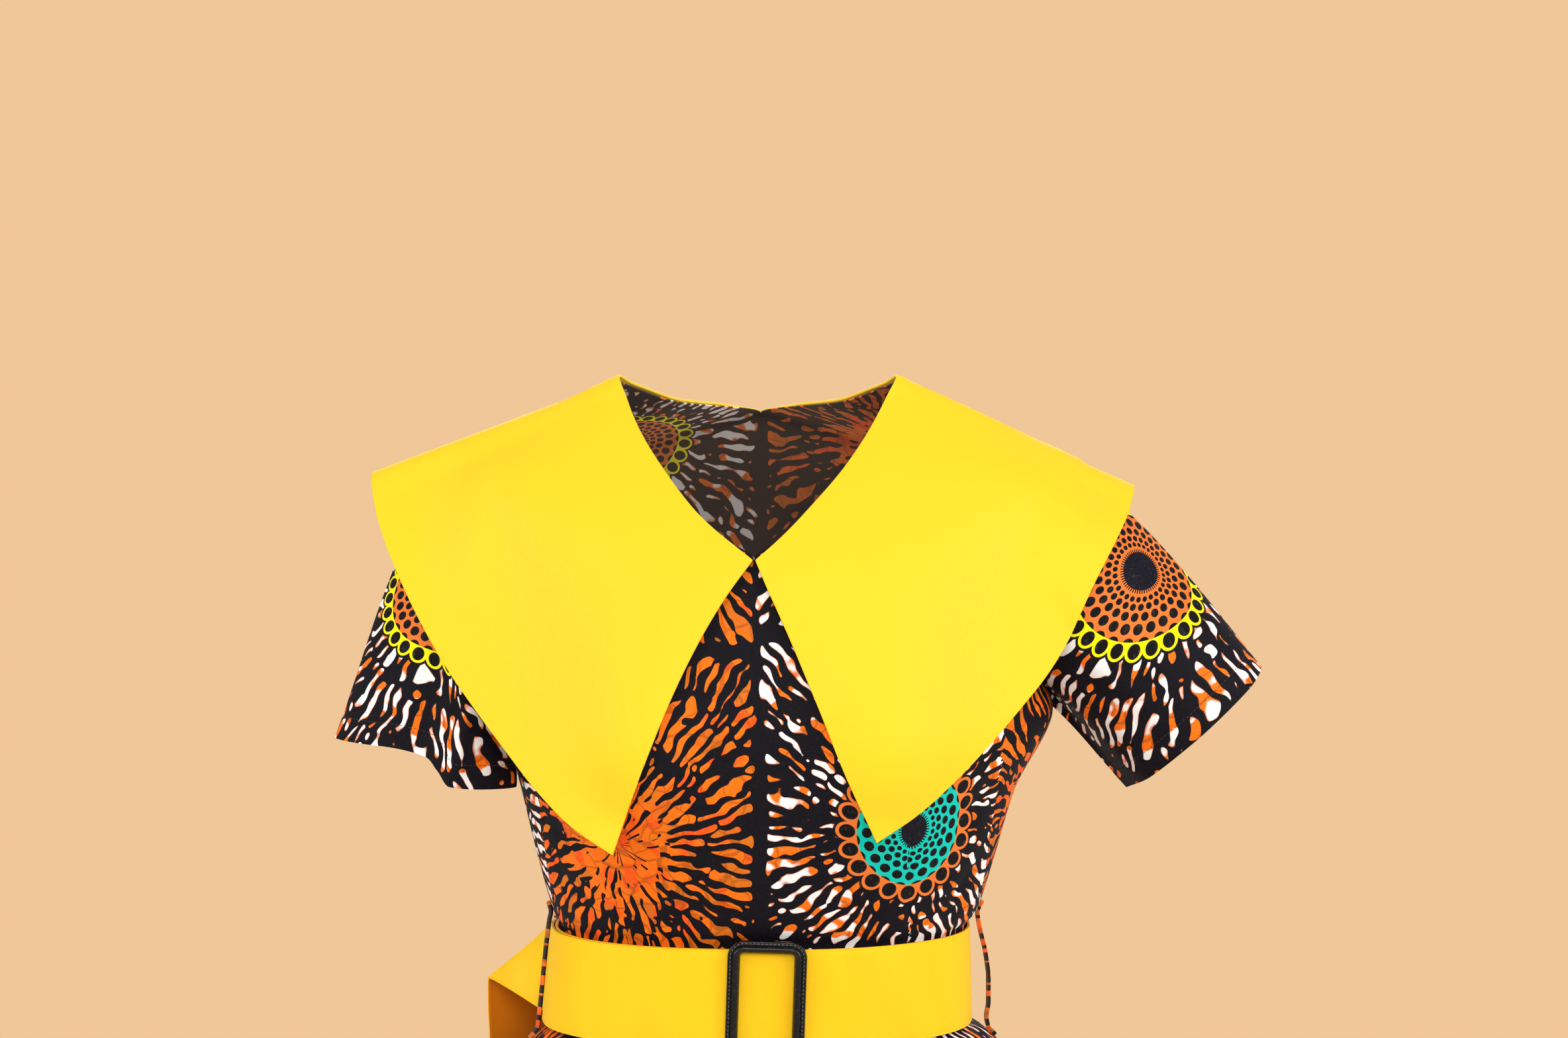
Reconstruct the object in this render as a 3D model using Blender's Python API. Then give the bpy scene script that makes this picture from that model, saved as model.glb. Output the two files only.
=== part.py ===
# A wax print dress with a wide yellow collar, short set-in sleeves, a flared skirt and a belt.
# Metres, +Z up. The origin is midway between the two neck points of the shoulder seams.
# The front faces -Y, and +X is the viewer's right.

import math
from collections import namedtuple

import bmesh
import bpy
from mathutils import Vector
from mathutils.bvhtree import BVHTree

# Cloth
WALL = 0.0015               # one layer of cotton with its seam allowances
COLLAR_WALL = 0.0020        # the collar is two layers
STRAP_WALL = 0.0020         # belt, stiffened
LOOP_WALL = 0.0028          # belt carriers, folded strips
SEAM_GAP = 0.0003           # left open at every seam
SEAM_PULL = 0.00018         # how far each panel's edge draws back from its seam
GENTLE_SEAM = 42.0          # degrees between a panel's normal and the seam's, up to which walls are mitred
SHARP_SEAM = 60.0
SQUARENESS = 2.3            # 2 makes a ring an ellipse, more makes it boxier
HEM_SQUARENESS = 2.0

# Bodice rows, counted from the waist seam up to the shoulder seam
UNDERARM_ROW = 8
V_ROW = 12                  # the front neckline leaves the centre front here
NAPE_ROW = 16               # the back neckline leaves the centre back here
SHOULDER_ROW = 20
HALF_COLUMNS = 10           # mesh columns from centre to side, each half
BUST = {"across": 0.086, "height": -0.236, "wide": 0.050, "tall": 0.058, "out": 0.020}

BodiceRow = namedtuple("BodiceRow", (
    "row", "left_neck", "right_neck", "centre_y", "centre_z", "left_x", "right_x", "edge_y", "edge_z", "turn"))
FRONT_ROWS = (              # neck: the centre front below the V, the neckline's two sides above it
    BodiceRow(0, 0.0000, 0.0000, -0.0905, -0.3725, -0.1275, 0.1298, 0.000, -0.3725, 90),
    BodiceRow(1, 0.0000, 0.0000, -0.0912, -0.3480, -0.1270, 0.1300, 0.000, -0.3480, 90),
    BodiceRow(2, 0.0000, 0.0000, -0.0960, -0.3360, -0.1322, 0.1382, 0.000, -0.3360, 90),
    BodiceRow(4, 0.0000, 0.0000, -0.1080, -0.3030, -0.1416, 0.1490, 0.000, -0.3030, 90),
    BodiceRow(6, 0.0000, 0.0000, -0.1175, -0.2600, -0.1522, 0.1622, 0.000, -0.2580, 90),
    BodiceRow(8, -0.0005, -0.0005, -0.1205, -0.2150, -0.1650, 0.1865, 0.000, -0.2070, 88),
    BodiceRow(10, -0.0018, -0.0018, -0.1140, -0.1600, -0.1600, 0.1650, -0.036, -0.1700, 76),
    BodiceRow(11, -0.0025, -0.0025, -0.1058, -0.1335, -0.1576, 0.1604, -0.046, -0.1508, 71),
    BodiceRow(12, -0.0032, -0.0032, -0.0960, -0.1062, -0.1560, 0.1575, -0.052, -0.1330, 66),
    BodiceRow(13, -0.0212, 0.0130, -0.0865, -0.0934, -0.1572, 0.1582, -0.052, -0.1170, 61),
    BodiceRow(14, -0.0370, 0.0265, -0.0765, -0.0802, -0.1590, 0.1595, -0.050, -0.1020, 56),
    BodiceRow(16, -0.0596, 0.0516, -0.0530, -0.0538, -0.1680, 0.1680, -0.038, -0.0745, 46),
    BodiceRow(18, -0.0772, 0.0707, -0.0275, -0.0272, -0.1800, 0.1800, -0.018, -0.0575, 36),
    BodiceRow(20, -0.0885, 0.0855, 0.0000, 0.0000, -0.1905, 0.1905, 0.005, -0.0482, 30),
)
BACK_ROWS = (               # neck: the centre back below the nape, the neckline's two sides above it
    BodiceRow(0, 0.0000, 0.0000, 0.0798, -0.3725, -0.1275, 0.1298, 0.000, -0.3725, 90),
    BodiceRow(1, 0.0000, 0.0000, 0.0802, -0.3480, -0.1270, 0.1300, 0.000, -0.3480, 90),
    BodiceRow(2, 0.0000, 0.0000, 0.0840, -0.3360, -0.1322, 0.1382, 0.000, -0.3360, 90),
    BodiceRow(4, 0.0000, 0.0000, 0.0890, -0.3030, -0.1416, 0.1490, 0.000, -0.3030, 90),
    BodiceRow(6, 0.0000, 0.0000, 0.0935, -0.2600, -0.1522, 0.1622, 0.000, -0.2580, 90),
    BodiceRow(8, 0.0000, 0.0000, 0.0965, -0.2150, -0.1650, 0.1865, 0.000, -0.2070, 88),
    BodiceRow(10, 0.0000, 0.0000, 0.0980, -0.1650, -0.1640, 0.1700, 0.042, -0.1700, 78),
    BodiceRow(12, 0.0000, 0.0000, 0.0950, -0.1150, -0.1620, 0.1630, 0.058, -0.1350, 70),
    BodiceRow(14, 0.0000, 0.0000, 0.0830, -0.0640, -0.1650, 0.1655, 0.056, -0.1020, 62),
    BodiceRow(16, 0.0000, 0.0000, 0.0620, -0.0220, -0.1720, 0.1720, 0.042, -0.0745, 50),
    BodiceRow(18, -0.0540, 0.0520, 0.0430, -0.0140, -0.1810, 0.1810, 0.024, -0.0575, 38),
    BodiceRow(20, -0.0885, 0.0855, 0.0000, 0.0000, -0.1905, 0.1905, 0.005, -0.0482, 30),
)

# Skirt: one closed ring at each height, with folds that grow towards the hem
SkirtRing = namedtuple("SkirtRing", "height left right front back fold")
SKIRT_RINGS = (
    SkirtRing(-0.3729, 0.1275, 0.1298, 0.0905, 0.0798, 0.0000),
    SkirtRing(-0.4075, 0.1325, 0.1315, 0.0928, 0.0820, 0.0000),
    SkirtRing(-0.4135, 0.1388, 0.1415, 0.0950, 0.0885, 0.0004),
    SkirtRing(-0.4240, 0.1475, 0.1525, 0.1045, 0.0965, 0.0012),
    SkirtRing(-0.4700, 0.1750, 0.1790, 0.1310, 0.1210, 0.0050),
    SkirtRing(-0.5400, 0.2020, 0.2050, 0.1560, 0.1470, 0.0110),
    SkirtRing(-0.6500, 0.2310, 0.2330, 0.1830, 0.1760, 0.0180),
    SkirtRing(-0.7800, 0.2550, 0.2560, 0.2050, 0.2000, 0.0240),
    SkirtRing(-0.9000, 0.2720, 0.2730, 0.2200, 0.2170, 0.0280),
    SkirtRing(-1.0000, 0.2860, 0.2870, 0.2330, 0.2310, 0.0310),
)
SKIRT_COLUMNS = 96
SKIRT_LEVELS = (-0.3729, -0.4075, -0.4135, -0.4240, -0.4450, -0.4700, -0.5200, -0.5900, -0.6800,
                -0.7800, -0.8900, -1.0000)
FOLD_COUNT = 12
FOLD_DRIFT = 0.55           # how unevenly the folds are spaced, in radians
FOLD_UNEVEN = 0.28          # how much their depths differ

# Sleeves: a closed loop at the hem, matched point by point with the armhole
HemPoint = namedtuple("HemPoint", "turn x y z")
LEFT_HEM = (
    HemPoint(0.000, -0.1665, 0.0040, -0.2530),
    HemPoint(0.120, -0.1530, -0.0400, -0.2530),
    HemPoint(0.215, -0.1765, -0.0610, -0.2520),
    HemPoint(0.265, -0.1935, -0.0640, -0.2500),
    HemPoint(0.295, -0.2010, -0.0600, -0.2405),
    HemPoint(0.330, -0.2090, -0.0520, -0.2328),
    HemPoint(0.410, -0.2400, -0.0430, -0.2268),
    HemPoint(0.500, -0.2712, -0.0040, -0.2262),
    HemPoint(0.625, -0.2520, 0.0420, -0.2350),
    HemPoint(0.750, -0.2120, 0.0580, -0.2440),
    HemPoint(0.875, -0.1780, 0.0440, -0.2500),
    HemPoint(1.000, -0.1665, 0.0040, -0.2530),
)
RIGHT_HEM = (
    HemPoint(0.000, 0.2338, 0.0000, -0.2590),
    HemPoint(0.125, 0.2468, -0.0390, -0.2462),
    HemPoint(0.250, 0.2775, -0.0560, -0.2175),
    HemPoint(0.375, 0.3078, -0.0400, -0.1905),
    HemPoint(0.500, 0.3190, 0.0000, -0.1810),
    HemPoint(0.625, 0.3070, 0.0400, -0.1920),
    HemPoint(0.750, 0.2770, 0.0560, -0.2195),
    HemPoint(0.875, 0.2470, 0.0390, -0.2470),
    HemPoint(1.000, 0.2338, 0.0000, -0.2590),
)
SleeveCut = namedtuple("SleeveCut", "hem leave_over leave_under arrive_over arrive_under front_swell")
LEFT_SLEEVE = SleeveCut(LEFT_HEM, (-0.68, 0.0, -0.73), (-0.80, 0.0, -0.60),
                        (-0.36, 0.0, -0.93), (-0.10, 0.0, -0.99), 0.35)
RIGHT_SLEEVE = SleeveCut(RIGHT_HEM, (0.84, 0.0, -0.54), (0.74, 0.0, -0.67),
                         (0.62, 0.0, -0.78), (0.68, 0.0, -0.73), 0.30)
SLEEVE_ROWS = 8

# Collar: each half runs from the V over the shoulder to the centre back
EdgePoint = namedtuple("EdgePoint", "x y z")
LEFT_COLLAR_FRONT = (
    EdgePoint(-0.0889, -0.126, -0.2834),
    EdgePoint(-0.0965, -0.124, -0.2800),
    EdgePoint(-0.1287, -0.111, -0.2540),
    EdgePoint(-0.1576, -0.093, -0.2213),
    EdgePoint(-0.1981, -0.067, -0.1687),
    EdgePoint(-0.2197, -0.051, -0.1316),
    EdgePoint(-0.2305, -0.039, -0.1105),
    EdgePoint(-0.2430, -0.017, -0.0797),
    EdgePoint(-0.2465, 0.008, -0.0595),
)
RIGHT_COLLAR_FRONT = (
    EdgePoint(0.0711, -0.126, -0.2756),
    EdgePoint(0.0743, -0.126, -0.2745),
    EdgePoint(0.0897, -0.121, -0.2638),
    EdgePoint(0.1249, -0.106, -0.2345),
    EdgePoint(0.1543, -0.090, -0.2050),
    EdgePoint(0.1818, -0.072, -0.1731),
    EdgePoint(0.2061, -0.051, -0.1318),
    EdgePoint(0.2219, -0.034, -0.1036),
    EdgePoint(0.2332, -0.014, -0.0801),
    EdgePoint(0.2379, 0.008, -0.0680),
)
COLLAR_BACK = (             # from beside the shoulder corner to the centre back, as the left half has it
    EdgePoint(-0.2360, 0.044, -0.0840),
    EdgePoint(-0.2080, 0.076, -0.1240),
    EdgePoint(-0.1650, 0.096, -0.1660),
    EdgePoint(-0.1100, 0.104, -0.1950),
    EdgePoint(-0.0550, 0.107, -0.2080),
    EdgePoint(0.0000, 0.107, -0.2110),
)
COLLAR_FRONT_ROWS = 10
COLLAR_BACK_ROWS = 8
COLLAR_COLUMNS = 10
COLLAR_BOW = {-1: -0.0100, 1: 0.0008}   # how far each front edge bows sideways
BOW_SKEW = 0.75             # below 1 the bow is fullest nearer the V
COLLAR_LIFT = 0.0030        # outer face of the collar above the cloth under it
COLLAR_NECK_LIFT = 0.0024   # the same along the neckline seam
COLLAR_PASSES = 6

# Belt: a strap from the buckle's bar round the waist, through the buckle and on to the left carrier
BELT_TOP = -0.3460
BELT_BOTTOM = -0.4070
BeltRing = namedtuple("BeltRing", "left right front back")
BELT_TOP_RING = BeltRing(0.1290, 0.1320, 0.0960, 0.0842)
BELT_BOTTOM_RING = BeltRing(0.1350, 0.1335, 0.0966, 0.0852)
OVERLAP_LIFT = 0.0026       # inner face of the top layer above the inner face of the lower one
BELT_STEP = 7.5             # degrees for each mesh column
BELT_START = -2.0           # degrees from the centre front, positive towards +X
BELT_END = -454.5
LIFT_FROM = -312.0
LIFT_TO = -342.0

TailStation = namedtuple("TailStation", "low_x low_y low_z high_x high_y high_z")
TAIL_STATIONS = (           # after the strap's end, which is the first station
    TailStation(-0.1480, 0.0190, -0.4020, -0.1345, 0.0230, -0.3462),
    TailStation(-0.1630, 0.0270, -0.3945, -0.1315, 0.0360, -0.3458),
    TailStation(-0.1738, 0.0310, -0.3892, -0.1272, 0.0440, -0.3463),
    TailStation(-0.1764, 0.0330, -0.3884, -0.1250, 0.0470, -0.3480),
    TailStation(-0.1773, 0.0358, -0.3910, -0.1234, 0.0500, -0.3510),
    TailStation(-0.1776, 0.0410, -0.4100, -0.1195, 0.0610, -0.3750),
    TailStation(-0.1772, 0.0450, -0.4300, -0.1215, 0.0730, -0.4150),
    TailStation(-0.1790, 0.0500, -0.4550, -0.1330, 0.0850, -0.4480),
    TailStation(-0.1840, 0.0545, -0.4780, -0.1450, 0.0960, -0.4800),
)
TAIL_LEAVES = (0.0008, 0.0032)   # the first two stations, straight back from the strap's end
TAIL_COLUMNS = 22
TAIL_ROWS = 6

# Buckle: a flat frame with a raised inner rib, and a centre bar behind the strap
BUCKLE_CENTRE = Vector((0.0040, -0.1019, -0.3765))
BUCKLE_WIDTH = 0.0490
BUCKLE_HEIGHT = 0.0730
BUCKLE_CORNER = 0.0102
BUCKLE_LEAN = math.radians(1.9)
BUCKLE_SECTION = (          # distance in from the outer edge, height above the back face
    (0.0000, 0.0000),
    (0.0000, 0.0018),
    (0.0005, 0.0024),
    (0.0027, 0.0026),
    (0.0037, 0.0040),
    (0.0051, 0.0043),
    (0.0067, 0.0034),
    (0.0078, 0.0016),
    (0.0078, 0.0000),
)
CORNER_STEPS = 6
BAR_WIDTH = 0.0060
BAR_FRONT = -0.0982
BAR_BACK = -0.0963
BAR_REACH = 0.0020          # how far the bar's ends run forward into the frame
BAR_INSET = 0.0012          # from the frame's outer edge to the bar's ends
STRAP_CLEARANCE = 0.0005    # between the strap's edges and the bar's ends

# Belt carriers: strips that stand over the belt at the side seams
LoopPoint = namedtuple("LoopPoint", "x z")
LEFT_LOOP = (
    LoopPoint(-0.1358, -0.3330),
    LoopPoint(-0.1342, -0.3395),
    LoopPoint(-0.1352, -0.3445),
    LoopPoint(-0.1368, -0.3560),
    LoopPoint(-0.1390, -0.3760),
    LoopPoint(-0.1414, -0.4000),
    LoopPoint(-0.1424, -0.4085),
    LoopPoint(-0.1431, -0.4145),
    LoopPoint(-0.1484, -0.4215),
)
RIGHT_LOOP = (
    LoopPoint(0.1421, -0.3325),
    LoopPoint(0.1392, -0.3400),
    LoopPoint(0.1406, -0.3500),
    LoopPoint(0.1443, -0.3660),
    LoopPoint(0.1464, -0.3840),
    LoopPoint(0.1464, -0.3980),
    LoopPoint(0.1452, -0.4080),
    LoopPoint(0.1468, -0.4150),
    LoopPoint(0.1508, -0.4195),
)
LOOP_WIDTH = 0.0060
LOOP_Y = 0.0040

PRINT_BLACK = ((0.035, 0.026, 0.032, 1.0), 0.75, 0.0)
PRINT_ORANGE = ((0.640, 0.190, 0.030, 1.0), 0.75, 0.0)
PLAIN_YELLOW = ((0.950, 0.700, 0.050, 1.0), 0.70, 0.0)
STRAP_YELLOW = ((0.930, 0.610, 0.020, 1.0), 0.70, 0.0)
BUCKLE_BLACK = ((0.020, 0.018, 0.017, 1.0), 0.32, 0.0)


def clear_scene():
    for item in list(bpy.data.objects):
        bpy.data.objects.remove(item, do_unlink=True)


def smooth_value(keys, values, at):
    # A cubic curve through the values that never overshoots them
    if at <= keys[0]:
        return values[0]
    if at >= keys[-1]:
        return values[-1]
    slopes = [(values[i + 1] - values[i]) / (keys[i + 1] - keys[i]) for i in range(len(keys) - 1)]
    tangents = [slopes[0]]
    for before, after in zip(slopes, slopes[1:]):
        agree = before * after > 0.0
        tangents.append(2.0 * before * after / (before + after) if agree else 0.0)
    tangents.append(slopes[-1])
    i = max(k for k in range(len(keys) - 1) if keys[k] <= at)
    span = keys[i + 1] - keys[i]
    t = (at - keys[i]) / span
    start = (2 * t ** 3 - 3 * t ** 2 + 1) * values[i] + (t ** 3 - 2 * t ** 2 + t) * span * tangents[i]
    end = (3 * t ** 2 - 2 * t ** 3) * values[i + 1] + (t ** 3 - t ** 2) * span * tangents[i + 1]
    return start + end


def from_table(table, key, column, at):
    # Reads a named column of a table between its rows
    rows = sorted(table, key=lambda row: getattr(row, key))
    keys = [getattr(row, key) for row in rows]
    return smooth_value(keys, [getattr(row, column) for row in rows], at)


def along(points, share):
    # The point at a share of the length of a smooth curve through the given points
    lengths = [0.0]
    for before, after in zip(points, points[1:]):
        lengths.append(lengths[-1] + (after - before).length)
    at = share * lengths[-1]
    return Vector([smooth_value(lengths, [p[axis] for p in points], at) for axis in range(3)])


def quarter(across, turn, squareness):
    # Shares across and in depth for a step round a quarter of a ring that stops at the given turn
    angle = across * turn
    power = 2.0 / squareness
    sideways = max(0.0, math.sin(angle) / math.sin(turn)) ** power
    depth = max(0.0, (math.cos(angle) - math.cos(turn)) / (1.0 - math.cos(turn))) ** power
    return sideways, depth


def ring_point(angle, left, right, front, back, squareness):
    # A point of a closed ring; the angle is 0 at the front and grows towards +X
    power = 2.0 / squareness
    half = right if math.sin(angle) >= 0.0 else left
    deep = front if math.cos(angle) >= 0.0 else back
    x = math.copysign(half * abs(math.sin(angle)) ** power, math.sin(angle))
    y = -math.copysign(deep * abs(math.cos(angle)) ** power, math.cos(angle))
    return x, y


def bust_depth(x, z):
    # How far the darts let the front stand out at this place
    out = 0.0
    for side in (-1, 1):
        across = (x - side * BUST["across"]) / BUST["wide"]
        height = (z - BUST["height"]) / BUST["tall"]
        out += BUST["out"] * math.exp(-across ** 2 - height ** 2)
    return out


def bodice_grid(table, side, is_front):
    # Rows from the waist to the shoulder seam, columns from the centre or neckline to the side
    grid = []
    for row in range(SHOULDER_ROW + 1):
        value = {name: from_table(table, "row", name, row) for name in table[0]._fields}
        hand = "left" if side < 0 else "right"
        centre = Vector((value[hand + "_neck"], value["centre_y"], value["centre_z"]))
        edge = Vector((value[hand + "_x"], value["edge_y"], value["edge_z"]))
        turn = math.radians(value["turn"])
        line = []
        for column in range(HALF_COLUMNS + 1):
            sideways, depth = quarter(column / HALF_COLUMNS, turn, SQUARENESS)
            x = centre.x + (edge.x - centre.x) * sideways
            y = edge.y + (centre.y - edge.y) * depth
            z = centre.z + (edge.z - centre.z) * sideways
            if is_front and row < SHOULDER_ROW:
                y -= bust_depth(x, z) * (1.0 - sideways ** 4)
            line.append(Vector((x, y, z)))
        grid.append(line)
    return grid


def armhole(front, back):
    # The loop from the underarm up the front, over the shoulder point and down the back
    loop = [front[row][-1] for row in range(UNDERARM_ROW, SHOULDER_ROW + 1)]
    loop += [back[row][-1] for row in range(SHOULDER_ROW - 1, UNDERARM_ROW - 1, -1)]
    return loop


def shares_of(loop):
    # Each point's share of the loop's length, with one half at the shoulder point
    top = len(loop) // 2
    lengths = [0.0]
    for before, after in zip(loop, loop[1:]):
        lengths.append(lengths[-1] + (after - before).length)
    halves = []
    for i, length in enumerate(lengths):
        if i <= top:
            halves.append(0.5 * length / lengths[top])
        else:
            halves.append(0.5 + 0.5 * (length - lengths[top]) / (lengths[-1] - lengths[top]))
    return halves


def sleeve_grid(loop, cut):
    # Rows from the armhole to the hem, each as many points as the armhole has
    grid = [[] for row in range(SLEEVE_ROWS + 1)]
    for start, share in zip(loop, shares_of(loop)):
        end = Vector([from_table(cut.hem, "turn", name, share) for name in "xyz"])
        reach = (end - start).length
        over = math.sin(math.pi * share) ** 2
        leave = Vector(cut.leave_over) * over + Vector(cut.leave_under) * (1.0 - over)
        leave.y -= cut.front_swell * math.sin(2.0 * math.pi * share)
        leave = leave.normalized() * reach
        arrive = Vector(cut.arrive_over) * over + Vector(cut.arrive_under) * (1.0 - over)
        arrive = arrive.normalized() * reach
        for row in range(SLEEVE_ROWS + 1):
            t = row / SLEEVE_ROWS
            point = start * (2 * t ** 3 - 3 * t ** 2 + 1) + leave * (t ** 3 - 2 * t ** 2 + t)
            point += end * (3 * t ** 2 - 2 * t ** 3) + arrive * (t ** 3 - t ** 2)
            grid[row].append(point)
    for line in grid:
        line[-1] = line[0]
    return grid


def skirt_grid():
    # Rows from the waist to the hem, columns once round from the left side seam
    grid = []
    for height in SKIRT_LEVELS:
        ring = [from_table(SKIRT_RINGS, "height", name, height) for name in SkirtRing._fields[1:5]]
        fold = from_table(SKIRT_RINGS, "height", "fold", height)
        down = (SKIRT_LEVELS[0] - height) / (SKIRT_LEVELS[0] - SKIRT_LEVELS[-1])
        squareness = SQUARENESS + (HEM_SQUARENESS - SQUARENESS) * down
        line = []
        for column in range(SKIRT_COLUMNS):
            angle = -0.5 * math.pi + 2.0 * math.pi * column / SKIRT_COLUMNS
            x, y = ring_point(angle, *ring, squareness)
            wave = math.cos(FOLD_COUNT * angle + FOLD_DRIFT * math.sin(2.0 * angle + 0.7))
            uneven = 1.0 + FOLD_UNEVEN * math.sin(3.0 * angle + 1.9)
            outward = Vector((x, y, 0.0)).normalized()
            place = Vector((x, y, height)) + outward * (fold * wave * uneven)
            line.append(place)
        grid.append(line)
    return grid


class Skin:
    # One sheet of points, shared by the panels that meet at its seams

    def __init__(self):
        self.points = []
        self.found = {}
        self.panels = {}

    def point(self, place):
        key = tuple(round(value, 5) for value in place)
        if key not in self.found:
            self.found[key] = len(self.points)
            self.points.append(Vector(place))
        return self.found[key]

    def add(self, panel, grid, turned):
        faces = self.panels.setdefault(panel, [])
        numbers = [[self.point(place) for place in line] for line in grid]
        for low, high in zip(numbers, numbers[1:]):
            for column in range(len(low) - 1):
                face = [low[column], low[column + 1], high[column + 1], high[column]]
                if turned:
                    face.reverse()
                faces.append(face)

    def normals(self, panels=None):
        # Averaged over the named panels, or over all of them
        found = {}
        for panel in panels or self.panels:
            for face in self.panels[panel]:
                a, b, c, d = [self.points[i] for i in face]
                normal = (c - a).cross(d - b)
                for i in face:
                    found[i] = found.get(i, Vector((0.0, 0.0, 0.0))) + normal
        return {i: normal.normalized() for i, normal in found.items()}

    def wall_normals(self, panel):
        # Shared with the neighbours at a gentle seam, the panel's own where two panels fold sharply
        shared = self.normals()
        own = self.normals([panel])
        blended = {}
        for i, normal in own.items():
            turn = math.degrees(normal.angle(shared[i]))
            weight = min(1.0, max(0.0, (turn - GENTLE_SEAM) / (SHARP_SEAM - GENTLE_SEAM)))
            blended[i] = shared[i].lerp(normal, weight).normalized()
        return blended

    def tree(self):
        faces = [face for group in self.panels.values() for face in group]
        return BVHTree.FromPolygons([tuple(place) for place in self.points], faces)


def thicken(points, normals, faces, wall, pulls):
    # Outer and inner points and the faces of a closed wall, the inner side along each normal
    used = sorted({i for face in faces for i in face})
    order = {number: place for place, number in enumerate(used)}
    count = len(used)
    outer = [points[i] + pulls.get(i, Vector((0.0, 0.0, 0.0))) for i in used]
    inner = [place - normals[i] * wall for place, i in zip(outer, used)]
    outside = [[order[i] for i in face] for face in faces]
    walls = list(outside)
    walls += [[i + count for i in reversed(face)] for face in outside]
    edges = {}
    for face in outside:
        for a, b in zip(face, face[1:] + face[:1]):
            edges[(a, b)] = True
    for a, b in edges:
        if (b, a) not in edges:
            walls.append([b, a, a + count, b + count])
    return outer + inner, walls


def seam_pulls(skin, panel, normals):
    # Draws the panel's edge back from each seam that it shares with another panel
    faces = skin.panels[panel]
    others = {i for name, group in skin.panels.items() if name != panel for face in group for i in face}
    pulls = {}
    for face in faces:
        centre = sum((skin.points[i] for i in face), Vector((0.0, 0.0, 0.0))) / len(face)
        for i in face:
            if i in others:
                pulls[i] = pulls.get(i, Vector((0.0, 0.0, 0.0))) + (centre - skin.points[i]).normalized()
    for i, pull in pulls.items():
        flat = pull - normals[i] * pull.dot(normals[i])
        pulls[i] = flat.normalized() * (SEAM_PULL * math.sqrt(2.0))
    return pulls


def make_object(name, points, faces, finish):
    mesh = bpy.data.meshes.new(name)
    mesh.from_pydata([tuple(place) for place in points], [], faces)
    mesh.validate()
    mesh.update()
    item = bpy.data.objects.new(name, mesh)
    bpy.context.scene.collection.objects.link(item)
    mesh.shade_smooth()
    mesh.set_sharp_from_angle(angle=math.radians(40.0))
    colour, roughness, metallic = finish
    material = bpy.data.materials.new(name)
    material.use_nodes = True
    shader = material.node_tree.nodes["Principled BSDF"]
    shader.inputs["Base Color"].default_value = colour
    shader.inputs["Roughness"].default_value = roughness
    shader.inputs["Metallic"].default_value = metallic
    material.diffuse_color = colour
    mesh.materials.append(material)
    return item


def make_panels(skin, wall, finish):
    for panel, faces in skin.panels.items():
        normals = skin.wall_normals(panel)
        points, walls = thicken(skin.points, normals, faces, wall, seam_pulls(skin, panel, normals))
        make_object(panel, points, walls, finish)


def collar_grid(front, back, side, front_edge, body):
    # Rows from the V round to the centre back, columns from the neckline to the outer edge
    front_neck = [front[row][0] for row in range(V_ROW, SHOULDER_ROW + 1)]
    back_neck = [back[row][0] for row in range(SHOULDER_ROW, NAPE_ROW - 1, -1)]
    outer_front = [Vector(point) for point in front_edge]
    outer_back = [outer_front[-1]] + [Vector((-side * p.x, p.y, p.z)) for p in COLLAR_BACK]
    ends = []
    for row in range(COLLAR_FRONT_ROWS + 1):
        share = row / COLLAR_FRONT_ROWS
        ends.append((along(front_neck, share), along(outer_front, share)))
    for row in range(1, COLLAR_BACK_ROWS + 1):
        share = row / COLLAR_BACK_ROWS
        ends.append((along(back_neck, share), along(outer_back, share)))
    spread = [column / COLLAR_COLUMNS for column in range(COLLAR_COLUMNS + 1)]
    grid = [[neck.lerp(edge, share) for share in spread] for neck, edge in ends]
    for row in range(COLLAR_FRONT_ROWS):
        fade = (1.0 - row / COLLAR_FRONT_ROWS) ** 2
        for place, share in zip(grid[row], spread):
            place.x += COLLAR_BOW[side] * fade * math.sin(math.pi * share ** BOW_SKEW)
    seams = ((grid[0], grid[0][0].x, 2.0 * SEAM_GAP), (grid[-1], grid[-1][0].x, SEAM_GAP))
    for step in range(COLLAR_PASSES):
        lay_over(grid, body)
        relax(grid)
    for step in range(COLLAR_PASSES):
        lay_over(grid, body)
        lift_cells(grid, body)
    for line, seam, gap in seams:
        for place in line:
            place.x = side * max(side * place.x, side * seam + gap)
    return grid


def lift_way(row):
    # Forward at the V, up at the shoulder and back at the centre back, so the outline stays in place
    if row <= COLLAR_FRONT_ROWS:
        angle = 0.5 * math.pi * (row / COLLAR_FRONT_ROWS) ** 2
    else:
        angle = math.pi * (1.0 - 0.5 * (1.0 - (row - COLLAR_FRONT_ROWS) / COLLAR_BACK_ROWS) ** 2)
    return Vector((0.0, -math.cos(angle), math.sin(angle)))


def clear_of(place, way, lift, body):
    # The move that brings a place clear of the cloth beneath it
    near, normal = body.find_nearest(place)[:2]
    height = (place - near).dot(normal)
    if height >= lift:
        return Vector((0.0, 0.0, 0.0))
    direction = (way + normal * 0.4).normalized()
    return direction * ((lift - height) / max(0.4, direction.dot(normal)))


def lay_over(grid, body):
    for row, line in enumerate(grid):
        for column, place in enumerate(line):
            lift = COLLAR_NECK_LIFT if column == 0 else COLLAR_LIFT
            place += clear_of(place, lift_way(row), lift, body)


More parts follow.
